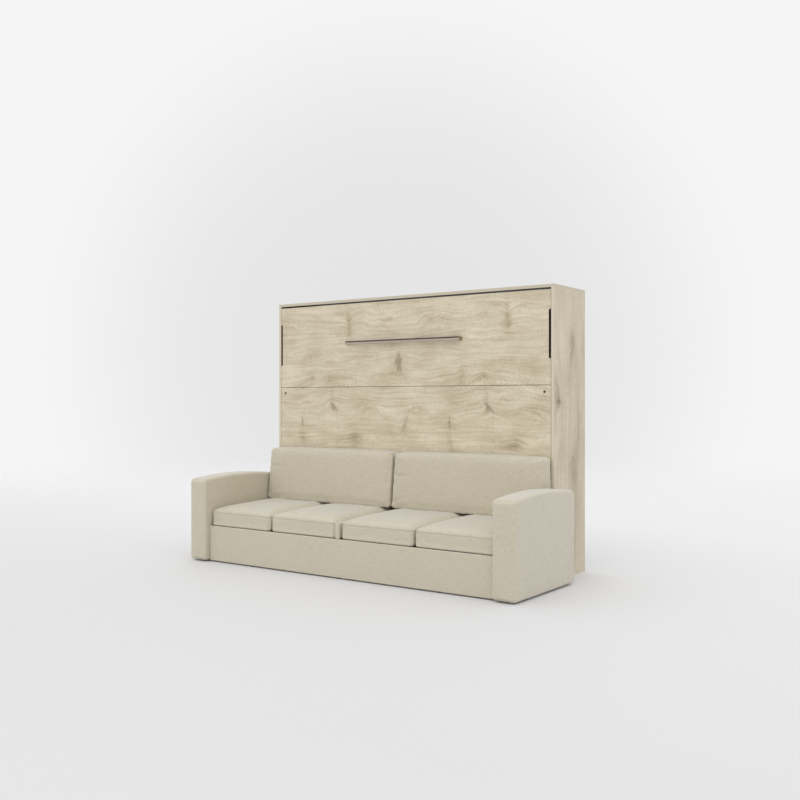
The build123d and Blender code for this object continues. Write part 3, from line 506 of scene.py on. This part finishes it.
handleLook = {
    # painted reflections: upper is a dark reflection along the top of the bar, lower a light brown one below
    # it, end a bronze one on the end faces
    "upper": (80, 74, 78), "lower": (192, 180, 162), "end": (176, 158, 136),
    "middle": 1.406, "half": 0.011,  # height of the bar's middle above the floor, and half its own height
    "blendFrom": -0.2, "blendTo": 0.6,  # where the colours meet, in half heights above the middle
    "endFacing": 0.6, "brushing": (4.0, 260.0, 260.0), "leastShade": 0.85,
    "roughness": (0.24, 0.38), "relief": 0.0001, "bump": 0.3,
}


def makeHandleMetal(name, look):  # brushed along x, with painted reflections: dark towards its upper edge, light brown below it, bronze on the ends
    material, tree, shader = startMaterial(name, Metallic=1.0)
    coordinates = addNode(tree, "ShaderNodeTexCoord").outputs
    brushed = reckonVector(tree, "MULTIPLY", coordinates["Object"], look["brushing"])
    streaks = speckle(tree, brushed, detail=3.0)
    # painted reflection: the colour goes from light brown to dark up the bar, and turns bronze on the end
    # faces
    blendHeights = (look["middle"] + look[key] * look["half"] for key in ("blendFrom", "blendTo"))
    upper = rerange(tree, split(tree, coordinates["Object"])[2], *blendHeights, smooth=True)
    colour = blendColour(tree, upper, fromScreen(*look["lower"]), fromScreen(*look["upper"]))
    endways = reckon(tree, "ABSOLUTE", split(tree, coordinates["Normal"])[0])
    atEnd = reckon(tree, "GREATER_THAN", endways, look["endFacing"])
    colour = blendColour(tree, atEnd, colour, fromScreen(*look["end"]))
    shade = rerange(tree, streaks, *noiseRange, look["leastShade"], 1.0)
    shade = combine(tree, shade, shade, shade)
    tree.links.new(blendColour(tree, 1.0, colour, shade, "MULTIPLY"), shader.inputs["Base Color"])
    rough = rerange(tree, streaks, *noiseRange, *look["roughness"])
    tree.links.new(rough, shader.inputs["Roughness"])
    bumpFrom(tree, shader, streaks, look["relief"], look["bump"])
    return material


plainLook = {"darkShare": 0.7, "roughnessSpread": 0.05, "bump": 0.4}


def makePlain(name, paint, roughness, grainScale, relief, metallic=0.0):  # one colour with a fine grain
    material, tree, shader = startMaterial(name, Metallic=metallic)
    grain = speckle(tree, addNode(tree, "ShaderNodeTexCoord").outputs["Object"], grainScale, detail=3.0)
    colour, spread = fromScreen(*paint), plainLook["roughnessSpread"]
    shaded = blendColour(tree, grain, dimmed(colour, plainLook["darkShare"]), colour)
    tree.links.new(shaded, shader.inputs["Base Color"])
    rough = rerange(tree, grain, *noiseRange, roughness - spread, roughness + spread)
    tree.links.new(rough, shader.inputs["Roughness"])
    bumpFrom(tree, shader, grain, relief, plainLook["bump"])
    return material


handleMetal = makeHandleMetal("handleMetal", handleLook)
blackPaint = makePlain("blackPaint", (30, 28, 27), roughness=0.5, grainScale=500.0, relief=0.0001)
zinc = makePlain("zincPlate", (205, 206, 208), roughness=0.35, grainScale=90.0, relief=0.0001,
                 metallic=1.0)
blackPlastic = makePlain("blackPlastic", (34, 31, 28), roughness=0.5, grainScale=700.0, relief=0.0001)
stopRubber = makePlain("stopRubber", (48, 47, 46), roughness=0.8, grainScale=400.0, relief=0.0002)
rawBoard = makePlain("rawBoard", (196, 168, 128), roughness=0.8, grainScale=160.0, relief=0.0004)
# painted shade: a dark finish for the seat decks and seam batten, so the gaps under and between the cushions
# read dark
deckPaintedShade = makePlain("deckPaintedShade", (74, 68, 60), roughness=0.9, grainScale=300.0, relief=0.0002)
print("stage: fabrics, metals and plastics ready")


def finishPart(node, finish):
    materials = cadNodes[node].data.materials
    materials.clear()
    materials.append(finish)


# Finishes of the parts that keep their shape
partFinishes = (
    (oakFront, ("lower_front_panel", "front_panel_lower", "front_panel_upper")),
    (oakSide, ("side_panel_left", "side_panel_right")),
    (oakTop, ("top_panel",)),
    (boardLong, ("bed_board_lower", "bed_board_upper", "top_batten", "slat_beam")),
    (boardFlat, ("wall_rail", "rear_floor_rail")),
    (boardEnd, ("bed_end_board_left", "bed_end_board_right", "front_cleats")),
    (rawBoard, ("arm_core_left", "arm_core_right", "apron_board", "base_back_board", "base_end_boards",
                "base_divider")),
    # the dark deck finish is painted shade for the gaps under the cushions
    (deckPaintedShade, ("seat_decks", "seam_batten")),
    (beech, ("slats",)),
    (zinc, ("wall_plates", "corner_angles", "pivot_plates", "strut_brackets", "crank_plates", "leg_pins",
            "joining_bolts", "strut_rod_left", "strut_rod_right")),
    (handleMetal, ("handle_bar", "handle_posts")),
    (blackPaint, ("leg_outer_left", "leg_outer_right", "leg_middle_left", "leg_middle_right",
                  "leg_inner_left", "leg_inner_right", "strut_cylinder_left", "strut_cylinder_right")),
    (blackPlastic, ("screw_covers", "slat_holders", "pivot_bushes", "sofa_glides")),
    (stopRubber, ("closing_stops",)),
    (webbing, ("mattress_straps",)),
)
for finish, members in partFinishes:
    for member in members:
        finishPart(member, finish)
print("stage: parts finished")


# Shapes
tiny = 1e-9  # the least length that anything is divided by


def meshObject(name, points, faces, finish):
    mesh = bpy.data.meshes.new(name)
    mesh.from_pydata(points.tolist(), [], faces.tolist())
    mesh.polygons.foreach_set("use_smooth", np.ones(len(faces), bool))
    mesh.materials.append(finish)
    made = bpy.data.objects.new(name, mesh)
    scene.collection.objects.link(made)
    return made


def joinGrids(grids):  # grids of points become quads, and points at the same place become one
    points, faces, start = [], [], 0
    for grid in grids:
        rows, columns = grid.shape[:2]
        index = start + np.arange(rows * columns).reshape(rows, columns)
        quads = np.stack((index[:-1, :-1], index[1:, :-1], index[1:, 1:], index[:-1, 1:]), -1)
        faces.append(quads.reshape(-1, 4))
        points.append(grid.reshape(-1, 3))
        start += rows * columns
    points, faces = np.concatenate(points), np.concatenate(faces)
    found = np.unique(np.round(points, 6), axis=0, return_index=True, return_inverse=True)
    first, place = found[1:]
    return points[first], place.reshape(-1)[faces]


# Even steps along the flat, then tangents of even angles over the round
def sideStops(half, radius, step, rounds):
    flat = half - radius
    middle = np.linspace(-flat, flat, max(2, int(round(2 * flat / step))) + 1)
    outer = flat + radius * np.tan(np.linspace(0, math.pi / 4, rounds + 1)[1:])
    return np.concatenate((-outer[::-1], middle, outer))


def roundedBox(low, high, radius, step, rounds=3, rows=(), rowRoom=0.0025):
    # each point of a box goes to the nearest point of a box smaller by the radius, then out by the radius
    low, high = np.array(low), np.array(high)
    centre, half = (low + high) / 2, (high - low) / 2
    stops = [sideStops(h, radius, step, rounds) for h in half]
    if len(rows):  # rows of points at given heights, in place of the even ones beside them
        wanted = np.array(rows) - centre[2]
        free = np.abs(stops[2][:, None] - wanted).min(1) > rowRoom
        stops[2] = np.sort(np.concatenate((stops[2][free], wanted)))
    grids = []
    for axis in range(3):
        a, b = (axis + 1) % 3, (axis + 2) % 3
        u, v = np.meshgrid(stops[a], stops[b], indexing="ij")
        for sign in (-1, 1):
            point = np.zeros(u.shape + (3,))
            point[..., a], point[..., b], point[..., axis] = u, v, sign * half[axis]
            inner = np.clip(point, radius - half, half - radius)
            out = point - inner
            out /= np.linalg.norm(out, axis=-1, keepdims=True)
            grid = inner + radius * out + centre
            grids.append(grid if sign > 0 else grid[::-1])
    return joinGrids(grids)


def roundCorners(points, a, b, radii):
    # the square corners of an outline in the plane of axes a and b become quarter circles
    # radii: at low a and low b, high a and low b, low a and high b, high a and high b
    low, high = points.min(0), points.max(0)
    centre, half = (low + high) / 2, (high - low) / 2
    away = points[:, (a, b)] - centre[[a, b]]
    corner = (away[:, 0] > 0) + 2 * (away[:, 1] > 0)
    radius = np.array(radii)[corner][:, None]
    inner = np.clip(away, radius - half[[a, b]], half[[a, b]] - radius)
    out = away - inner
    length = np.linalg.norm(out, axis=1)
    inCorner = (np.abs(out) > tiny).all(1)
    scale = np.where(inCorner, np.abs(out).max(1) / np.maximum(length, tiny), 1.0)
    moved = points.copy()
    moved[:, (a, b)] = inner + out * scale[:, None] + centre[[a, b]]
    return moved


# A sum of plane waves with seeded directions and lengths, from about -1 to 1
def ripple(points, waveLength, seed, count=14, spread=(0.7, 1.5)):
    dice = np.random.default_rng(seed)
    directions = dice.normal(size=(count, 3))
    directions /= np.linalg.norm(directions, axis=1, keepdims=True)
    lengths = waveLength * dice.uniform(*spread, count)
    phases = dice.uniform(0, 2 * math.pi, count)
    waves = np.cos(points @ (directions / lengths[:, None]).T * 2 * math.pi + phases)
    return waves.sum(1) / math.sqrt(count / 2) / 2


def outward(points, faces):  # the direction out of the surface at each point
    corners = points[faces]
    normals = np.cross(corners[:, 2] - corners[:, 0], corners[:, 3] - corners[:, 1])
    total = np.zeros_like(points)
    for corner in range(4):
        np.add.at(total, faces[:, corner], normals)
    return total / np.maximum(np.linalg.norm(total, axis=1, keepdims=True), tiny)


def smoothStep(value, low, high):  # 0 below the low value, 1 above the high one, an S between them
    share = np.clip((value - low) / (high - low), 0, 1)
    return share * share * (3 - 2 * share)


def ridge(distance, width):  # 1 at no distance, falling as a bell
    return np.exp(-(distance / width) ** 2)


clothLook = {
    "quality": 4, "mass": 0.3, "stretch": 15, "bend": 0.5, "pressure": 3.5, "frames": 16, "cap": 0.008,
}


def inflate(points, faces, look):
    # the cover is blown up from inside, as its filling does, and no point goes further than the cap
    trial = meshObject("trialCover", points, faces, linen)
    cloth = trial.modifiers.new("Cloth", "CLOTH")
    cloth.settings.quality = look["quality"]
    cloth.settings.mass = look["mass"]
    cloth.settings.use_pressure = True
    cloth.settings.uniform_pressure_force = look["pressure"]
    cloth.settings.tension_stiffness = look["stretch"]
    cloth.settings.compression_stiffness = look["stretch"]
    cloth.settings.bending_stiffness = look["bend"]
    cloth.settings.effector_weights.gravity = 0
    cloth.collision_settings.use_collision = False
    for step in range(1, look["frames"] + 1):
        scene.frame_set(step)
    blown = trial.evaluated_get(bpy.context.evaluated_depsgraph_get())
    reached = np.zeros(len(points) * 3)
    blown.data.vertices.foreach_get("co", reached)
    bpy.data.objects.remove(trial)
    scene.frame_set(1)
    moved = reached.reshape(-1, 3) - points
    length = np.linalg.norm(moved, axis=1, keepdims=True)
    return points + moved * np.minimum(1, look["cap"] / np.maximum(length, tiny))


def softPiece(name, points, faces, body, slotName, finish, fill, *replaced, seam=None):
    piece = meshObject(name, points, faces, finish)
    # seam carries painted shade for grooves and creases
    if seam is not None:
        piece.data.attributes.new("seam", "FLOAT", "POINT").data.foreach_set("value", seam)
    smoother = piece.modifiers.new("Smoother", "SUBSURF")
    smoother.levels = smoother.render_levels = 1
    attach(piece, body)
    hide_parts(*replaced)
    return piece


def shares(points, low, high):  # the place of each point from -1 to 1 along each axis of its box
    return ((points - (low + high) / 2) / ((high - low) / 2)).T


seatLook = {
    "edgeRound": 0.016, "cornerRounds": (0.024, 0.024, 0.009, 0.009), "step": 0.011, "startSmaller": 0.0035,
    "edgeHeight": 0.327, "crownHeight": 0.357, "crownFlat": 10, "frontDrop": 0.88, "frontFlat": 4,
    "drawIn": 0.002, "drawFlat": 8, "sideHold": 0.75,
    "seamHeight": 0.3125, "seamDepth": 0.0028, "seamWidth": 0.0026, "seamShade": 0.3,
    "seamRows": (-0.007, -0.003, 0.0, 0.003, 0.007),  # above and below the seam
    "pucker": 0.0008, "puckerWave": 0.022, "puckerReach": 0.02, "puckerStretch": (1, 1, 0.15),
    "dents": 0.0018, "dentWave": 0.22, "puckerSeed": 30, "dentSeed": 60, "fill": 0.85,
    # from where to where each comes in: shares of the height, of the half width, or of facing upwards
    "crownRange": (0.93, 1.0), "drawRange": (0.0, 0.3), "drawEndRange": (0.85, 1.0),
    "deckRange": (0.0, 0.25), "dentRange": (0.9, 1.0), "sideRange": (0.93, 1.0), "topRange": (0.55, 0.95),
}


# Seat cushion: a rounded box, whose top rises by a crown that is flat in the middle, falls to nothing at
# the sides and is low at the front; it is blown up, and its surface moves by puckers and dents, and in by
# the seam that runs round it, along which shade is painted.
def makeSeatCushion(number):
    look = seatLook
    node = f"seat_cushion_{number}"
    low, high = (np.array(corner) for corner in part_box(node))
    low[:2] += look["startSmaller"]
    high[:2] -= look["startSmaller"]
    high[2] = look["edgeHeight"]
    rows = look["seamHeight"] + np.array(look["seamRows"])
    points, faces = roundedBox(low, high, look["edgeRound"], look["step"], rows=rows)
    points = roundCorners(points, 0, 1, look["cornerRounds"])
    u, v, t = shares(points, low, high)
    t = (t + 1) / 2
    fromFront = (v + 1) / 2
    crown = 1 - np.abs(np.clip(u, -1, 1)) ** look["crownFlat"]
    crown = np.clip(crown * (1 - look["frontDrop"] * (1 - fromFront) ** look["frontFlat"]), 0, 1)
    rise = (look["crownHeight"] - look["edgeHeight"]) * crown
    points[:, 2] += rise * smoothStep(t, *look["crownRange"])
    # the sides draw in between the corners
    side = smoothStep(t, *look["drawRange"]) * (1 - smoothStep(t, *look["drawEndRange"]))
    points[:, 0] -= look["drawIn"] * np.sign(u) * np.abs(u) ** look["drawFlat"] * (1 - v ** 2) * side
    start = points.copy()
    blown = inflate(points, faces, clothLook)
    # the lower face lies flat on the deck, and the sides lie against their neighbours
    free = smoothStep(t, *look["deckRange"])
    sideways = smoothStep(np.maximum(np.abs(u), v), *look["sideRange"])
    points = start + (blown - start) * (free * (1 - look["sideHold"] * sideways))[:, None]
    normals = outward(points, faces)
    aside = 1 - smoothStep(np.abs(normals[:, 2]), *look["topRange"])
    fromSeam = start[:, 2] - look["seamHeight"]
    seam = ridge(fromSeam, look["seamWidth"]) * aside
    around = np.exp(-np.abs(fromSeam) / look["puckerReach"]) * (t > 0.5)
    pucker = ripple(points * look["puckerStretch"], look["puckerWave"], look["puckerSeed"] + number)
    pucker = pucker * around * look["pucker"]
    dents = ripple(points, look["dentWave"], look["dentSeed"] + number) * look["dents"]
    dents = dents * smoothStep(t, *look["dentRange"])
    points = points + normals * (pucker + dents - seam * look["seamDepth"])[:, None]
    # the seam attribute paints shade along the seam groove
    softPiece(f"seat_cushion_cover_{number}", points, faces, "frame", "sofa_fabric", linen, look["fill"],
              node, seam=seam * look["seamShade"])


for number in range(1, 5):
    makeSeatCushion(number)
print("stage: seat cushions made")

backLook = {
    "edgeRound": 0.014, "cornerRounds": (0.02, 0.02, 0.024, 0.024), "step": 0.01, "startSmaller": 0.003,
    "topCrown": 0.007, "lean": 0.034, "drawIn": 0.002, "endFlat": 6, "sideHold": 0.6,
    "creaseHeights": {"left": 0.66, "right": 0.6}, "creaseFall": 0.05,
    "creaseDepth": 0.005, "creaseWidth": 0.007, "creaseReach": 0.12, "creaseShade": 0.2,
    "lowCreaseHeight": 0.12, "lowCreaseRise": 0.35, "lowCrease": 0.7,
    "pucker": 0.0016, "puckerWave": 0.035, "puckerStretch": (1, 0.2, 1), "puckerFlat": (10, 12),
    "dents": 0.0025, "dentWave": 0.3, "fill": 0.8,
    "puckerSeed": {"left": 84, "right": 85}, "dentSeed": {"left": 94, "right": 95},
    # from where to where each comes in: shares of the half sizes, or of facing the front
    "crownRange": (0.3, 1.0), "leanRange": (-0.6, 0.9), "drawRange": (-0.2, 1.2),
    "rearRange": (-0.9, -0.2), "lowerRange": (-1.0, -0.8), "endRange": (0.96, 1.0), "frontRange": (0.3, 0.9),
}


# Back cushion: a rounded box whose front leans back towards its top, with its ends lower than its middle;
# it is blown up, and its surface moves by puckers near the edges and by dents, and in by two creases that
# get painted shade.
def makeBackCushion(side):
    look = backLook
    node = f"back_cushion_{side}"
    low, high = (np.array(corner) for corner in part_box(node))
    low, high = low + look["startSmaller"], high - look["startSmaller"]
    points, faces = roundedBox(low, high, look["edgeRound"], look["step"])
    points = roundCorners(points, 0, 2, look["cornerRounds"])
    u, v, t = shares(points, low, high)
    nearEnd = np.abs(u) ** look["endFlat"]
    points[:, 2] -= look["topCrown"] * nearEnd * smoothStep(t, *look["crownRange"])
    points[:, 1] += look["lean"] * (t + 1) / 2 * smoothStep(-v, *look["leanRange"])
    points[:, 0] -= look["drawIn"] * np.sign(u) * nearEnd * smoothStep(t, *look["drawRange"])
    start = points.copy()
    blown = inflate(points, faces, clothLook)
    # the rear and the lower edge keep their place, and the ends lie against their neighbours
    free = smoothStep(-v, *look["rearRange"]) * smoothStep(t, *look["lowerRange"])
    free *= 1 - look["sideHold"] * smoothStep(np.abs(u), *look["endRange"])
    points = start + (blown - start) * free[:, None]
    normals = outward(points, faces)
    front = smoothStep(-normals[:, 1], *look["frontRange"])
    # one crease runs in from the end, and a shorter one runs up from the lower corner
    fromEnd = points[:, 0] - low[0]
    height = points[:, 2] - low[2]
    tall = high[2] - low[2]
    fromCrease = height - look["creaseHeights"][side] * tall + look["creaseFall"] * fromEnd
    fromLowCrease = height - look["lowCreaseHeight"] * tall - look["lowCreaseRise"] * fromEnd
    crease = ridge(fromCrease, look["creaseWidth"])
    crease += look["lowCrease"] * ridge(fromLowCrease, look["creaseWidth"])
    crease *= ridge(fromEnd, look["creaseReach"])
    endFlat, topFlat = look["puckerFlat"]
    edge = np.maximum(np.abs(u) ** endFlat, np.abs(t) ** topFlat)
    pucker = ripple(points * look["puckerStretch"], look["puckerWave"], look["puckerSeed"][side])
    pucker = pucker * edge * look["pucker"]
    dents = ripple(points, look["dentWave"], look["dentSeed"][side]) * look["dents"]
    points = points + normals * (pucker + (dents - crease * look["creaseDepth"]) * front)[:, None]
    # the seam attribute paints shade in the creases
    softPiece(f"back_cushion_cover_{side}", points, faces, node, "sofa_fabric", linen, look["fill"],
              node, seam=crease * front * look["creaseShade"])


for side in ("left", "right"):
    makeBackCushion(side)
print("stage: back cushions made")

armLook = {
    "edgeRound": 0.018, "cornerRounds": (0.02, 0.034, 0.022, 0.042), "step": 0.013,
    "frontHeight": 0.524, "crownHeight": 0.548, "rearHeight": 0.527, "crownShare": 0.6,
    "bulge": 0.002, "bulgeFlat": 4, "dents": 0.0012, "dentWave": 0.25, "insideHold": 0.8,
    "insideFacing": 0.3, "dentSeed": {"left": 124, "right": 125}, "fill": 0.95,
}


# Arm: a rounded box whose top follows a parabola through its front, crown and rear heights; its surface
# moves out by a bulge in the middle of each face, apart from the inner one, and in by dents.
def makeArm(side):
    look = armLook
    node = f"arm_cover_{side}"
    low, high = (np.array(corner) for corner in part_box(node))
    depths = low[1] + np.array((0, look["crownShare"], 1)) * (high[1] - low[1])
    arch = np.polyfit(depths, (look["frontHeight"], look["crownHeight"], look["rearHeight"]), 2)
    high[2] = look["frontHeight"]
    points, faces = roundedBox(low, high, look["edgeRound"], look["step"])
    points = roundCorners(points, 1, 2, look["cornerRounds"])
    v, t = shares(points, low, high)[1:]
    share = (t + 1) / 2
    points[:, 2] = low[2] + share * (np.polyval(arch, points[:, 1]) - low[2])
    normals = outward(points, faces)
    flat = look["bulgeFlat"]
    swell = (1 - np.clip(np.abs(v), 0, 1) ** flat) * (1 - np.clip(np.abs(t), 0, 1) ** flat)
    inside = normals[:, 0] * (1 if side == "left" else -1) > look["insideFacing"]
    bulge = np.where(inside, 0.0, look["bulge"] * swell)
    dents = ripple(points, look["dentWave"], look["dentSeed"][side]) * look["dents"]
    dents *= 1 - look["insideHold"] * inside
    points = points + normals * (bulge + dents - look["dents"])[:, None]
    softPiece(f"arm_pad_{side}", points, faces, "frame", "sofa_fabric", linen, look["fill"], node,
              f"arm_core_{side}")


for side in ("left", "right"):
    makeArm(side)

# Apron and the padded rail between the cushions: rounded boxes, the apron with dents in its front
apronLook = {
    "edgeRound": 0.0045, "step": 0.012, "rounds": 2, "dents": 0.0006, "dentWave": 0.16, "dentSeed": 7,
    "frontRange": (0.3, 0.9), "fill": 0.9,
}
apronLow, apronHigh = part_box("apron_cover")
edgeRound, step, rounds = (apronLook[key] for key in ("edgeRound", "step", "rounds"))
points, faces = roundedBox(apronLow, apronHigh, edgeRound, step, rounds)
normals = outward(points, faces)
dents = (ripple(points, apronLook["dentWave"], apronLook["dentSeed"]) - 1) * apronLook["dents"]
front = smoothStep(-normals[:, 1], *apronLook["frontRange"])
points = points + normals * (dents * front)[:, None]
softPiece("apron_pad", points, faces, "frame", "sofa_fabric", linen, apronLook["fill"], "apron_cover")

railLook = {"edgeRound": 0.009, "step": 0.01, "fill": 0.9}
railLow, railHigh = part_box("divider_post")
points, faces = roundedBox(railLow, railHigh, railLook["edgeRound"], railLook["step"])
softPiece("divider_pad", points, faces, "frame", "sofa_fabric", linen, railLook["fill"], "divider_post")
print("stage: arms, apron and divider made")

# Mattress: a rounded box with crossing channels, which quilt diamonds into its sleeping side
mattressLook = {
    "edgeRound": 0.022, "step": 0.016, "shrink": 0.001,
    "quiltPitch": 0.18, "quiltDepth": 0.006, "quiltWidth": 0.014, "sleepingRange": (0.7, 0.98),
    "fill": 0.9,
}
mattressLow, mattressHigh = (np.array(corner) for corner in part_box("mattress"))
mattressLow, mattressHigh = mattressLow + mattressLook["shrink"], mattressHigh - mattressLook["shrink"]
points, faces = roundedBox(mattressLow, mattressHigh, mattressLook["edgeRound"], mattressLook["step"])
normals = outward(points, faces)
quiltPitch = mattressLook["quiltPitch"]
firstWay, otherWay = (
    np.abs((points[:, 0] + slope * points[:, 2]) / quiltPitch % 1 - 0.5) * quiltPitch for slope in (1, -1)
)
channel = ridge(np.minimum(firstWay, otherWay), mattressLook["quiltWidth"]) * mattressLook["quiltDepth"]
sleeping = smoothStep(normals[:, 1], *mattressLook["sleepingRange"])
points = points - normals * (channel * sleeping)[:, None]
softPiece("mattress_cover", points, faces, "bed", "mattress_cover", ticking, mattressLook["fill"],
          "mattress")
print("stage: mattress made")

# Camera
cameraLook = {"place": (3.4998, -4.7942, 1.032), "turn": 35.5, "lens": 43.02, "sensor": 36.0}
camera = bpy.data.objects.new("photoCamera", bpy.data.cameras.new("photoCamera"))
scene.collection.objects.link(camera)
camera.location = cameraLook["place"]
camera.rotation_euler = (math.pi / 2, 0.0, math.radians(cameraLook["turn"]))
camera.data.lens = cameraLook["lens"]
camera.data.sensor_width = cameraLook["sensor"]
scene.camera = camera

# Floor: a disc that fades out far away, with painted shade that makes it a little darker near the camera
floorLook = {
    "near": (209, 209, 210), "far": (222, 222, 223), "nearPlace": -2.5, "farPlace": 2.5, "roughness": 0.7,
    "reach": 14.0, "fadeStart": 3.5, "fadeEnd": 12.0, "spokes": 65, "rings": 12,
}
turns = np.linspace(0, 2 * math.pi, floorLook["spokes"])
angles, radii = np.meshgrid(turns, np.linspace(0, floorLook["reach"], floorLook["rings"]), indexing="ij")
floorGrid = np.stack((radii * np.cos(angles), radii * np.sin(angles), 0 * radii), -1)
floorPoints, floorFaces = joinGrids([floorGrid[::-1]])
material, tree, shader = startMaterial("studioFloor", Roughness=floorLook["roughness"])
floorPlace = addNode(tree, "ShaderNodeTexCoord").outputs["Object"]
farAway = reckonVector(tree, "LENGTH", floorPlace)
fade = rerange(tree, farAway, floorLook["fadeStart"], floorLook["fadeEnd"], 1.0, 0.0, smooth=True)
tree.links.new(fade, shader.inputs["Alpha"])
depth = rerange(tree, split(tree, floorPlace)[1], floorLook["nearPlace"], floorLook["farPlace"])
floorColour = blendColour(tree, depth, fromScreen(*floorLook["near"]), fromScreen(*floorLook["far"]))
tree.links.new(floorColour, shader.inputs["Base Color"])
floor = meshObject("studio_floor", floorPoints, floorFaces, material)

# Sky: an even light, brighter overhead, and a backdrop that is a little darker behind the wall bed
skyLook = {
    "level": 0.88, "overhead": 1.3, "back": (245, 245, 245), "backMiddle": (229, 229, 229),
    "middleTurn": 0.62, "middleRise": 0.05, "middleFrom": 0.93,
}
world = bpy.data.worlds.new("studioWorld")
world.use_nodes = True
sky = world.node_tree
seen = addNode(sky, "ShaderNodeLightPath").outputs["Is Camera Ray"]
direction = addNode(sky, "ShaderNodeTexCoord").outputs["Generated"]
level = rerange(sky, split(sky, direction)[2], 0.0, 1.0, skyLook["level"], skyLook["overhead"])
middle = (-math.sin(skyLook["middleTurn"]), math.cos(skyLook["middleTurn"]), skyLook["middleRise"])
behind = reckonVector(sky, "DOT_PRODUCT", direction, middle)
behind = rerange(sky, behind, skyLook["middleFrom"], 1.0, smooth=True)
backdrop = blendColour(sky, behind, fromScreen(*skyLook["back"]), fromScreen(*skyLook["backMiddle"]))
skyLight = blendColour(sky, seen, combine(sky, level, level, level), backdrop)
sky.links.new(skyLight, sky.nodes["Background"].inputs["Color"])
scene.world = world
scene.view_settings.view_transform = "Standard"

# Key light
keyLook = {"place": (1.5, -4.0, 5.0), "aim": (0.0, 0.0, 0.6), "size": 4.0, "power": 25.0}
key = bpy.data.objects.new("keyLight", bpy.data.lights.new("keyLight", "AREA"))
scene.collection.objects.link(key)
key.data.energy = keyLook["power"]
key.data.size = keyLook["size"]
key.location = keyLook["place"]
aim = np.array(keyLook["aim"]) - np.array(keyLook["place"])
tilt = math.acos(-aim[2] / np.linalg.norm(aim))
key.rotation_euler = (tilt, 0.0, math.atan2(aim[1], aim[0]) - math.pi / 2)
print("stage: camera and light set")
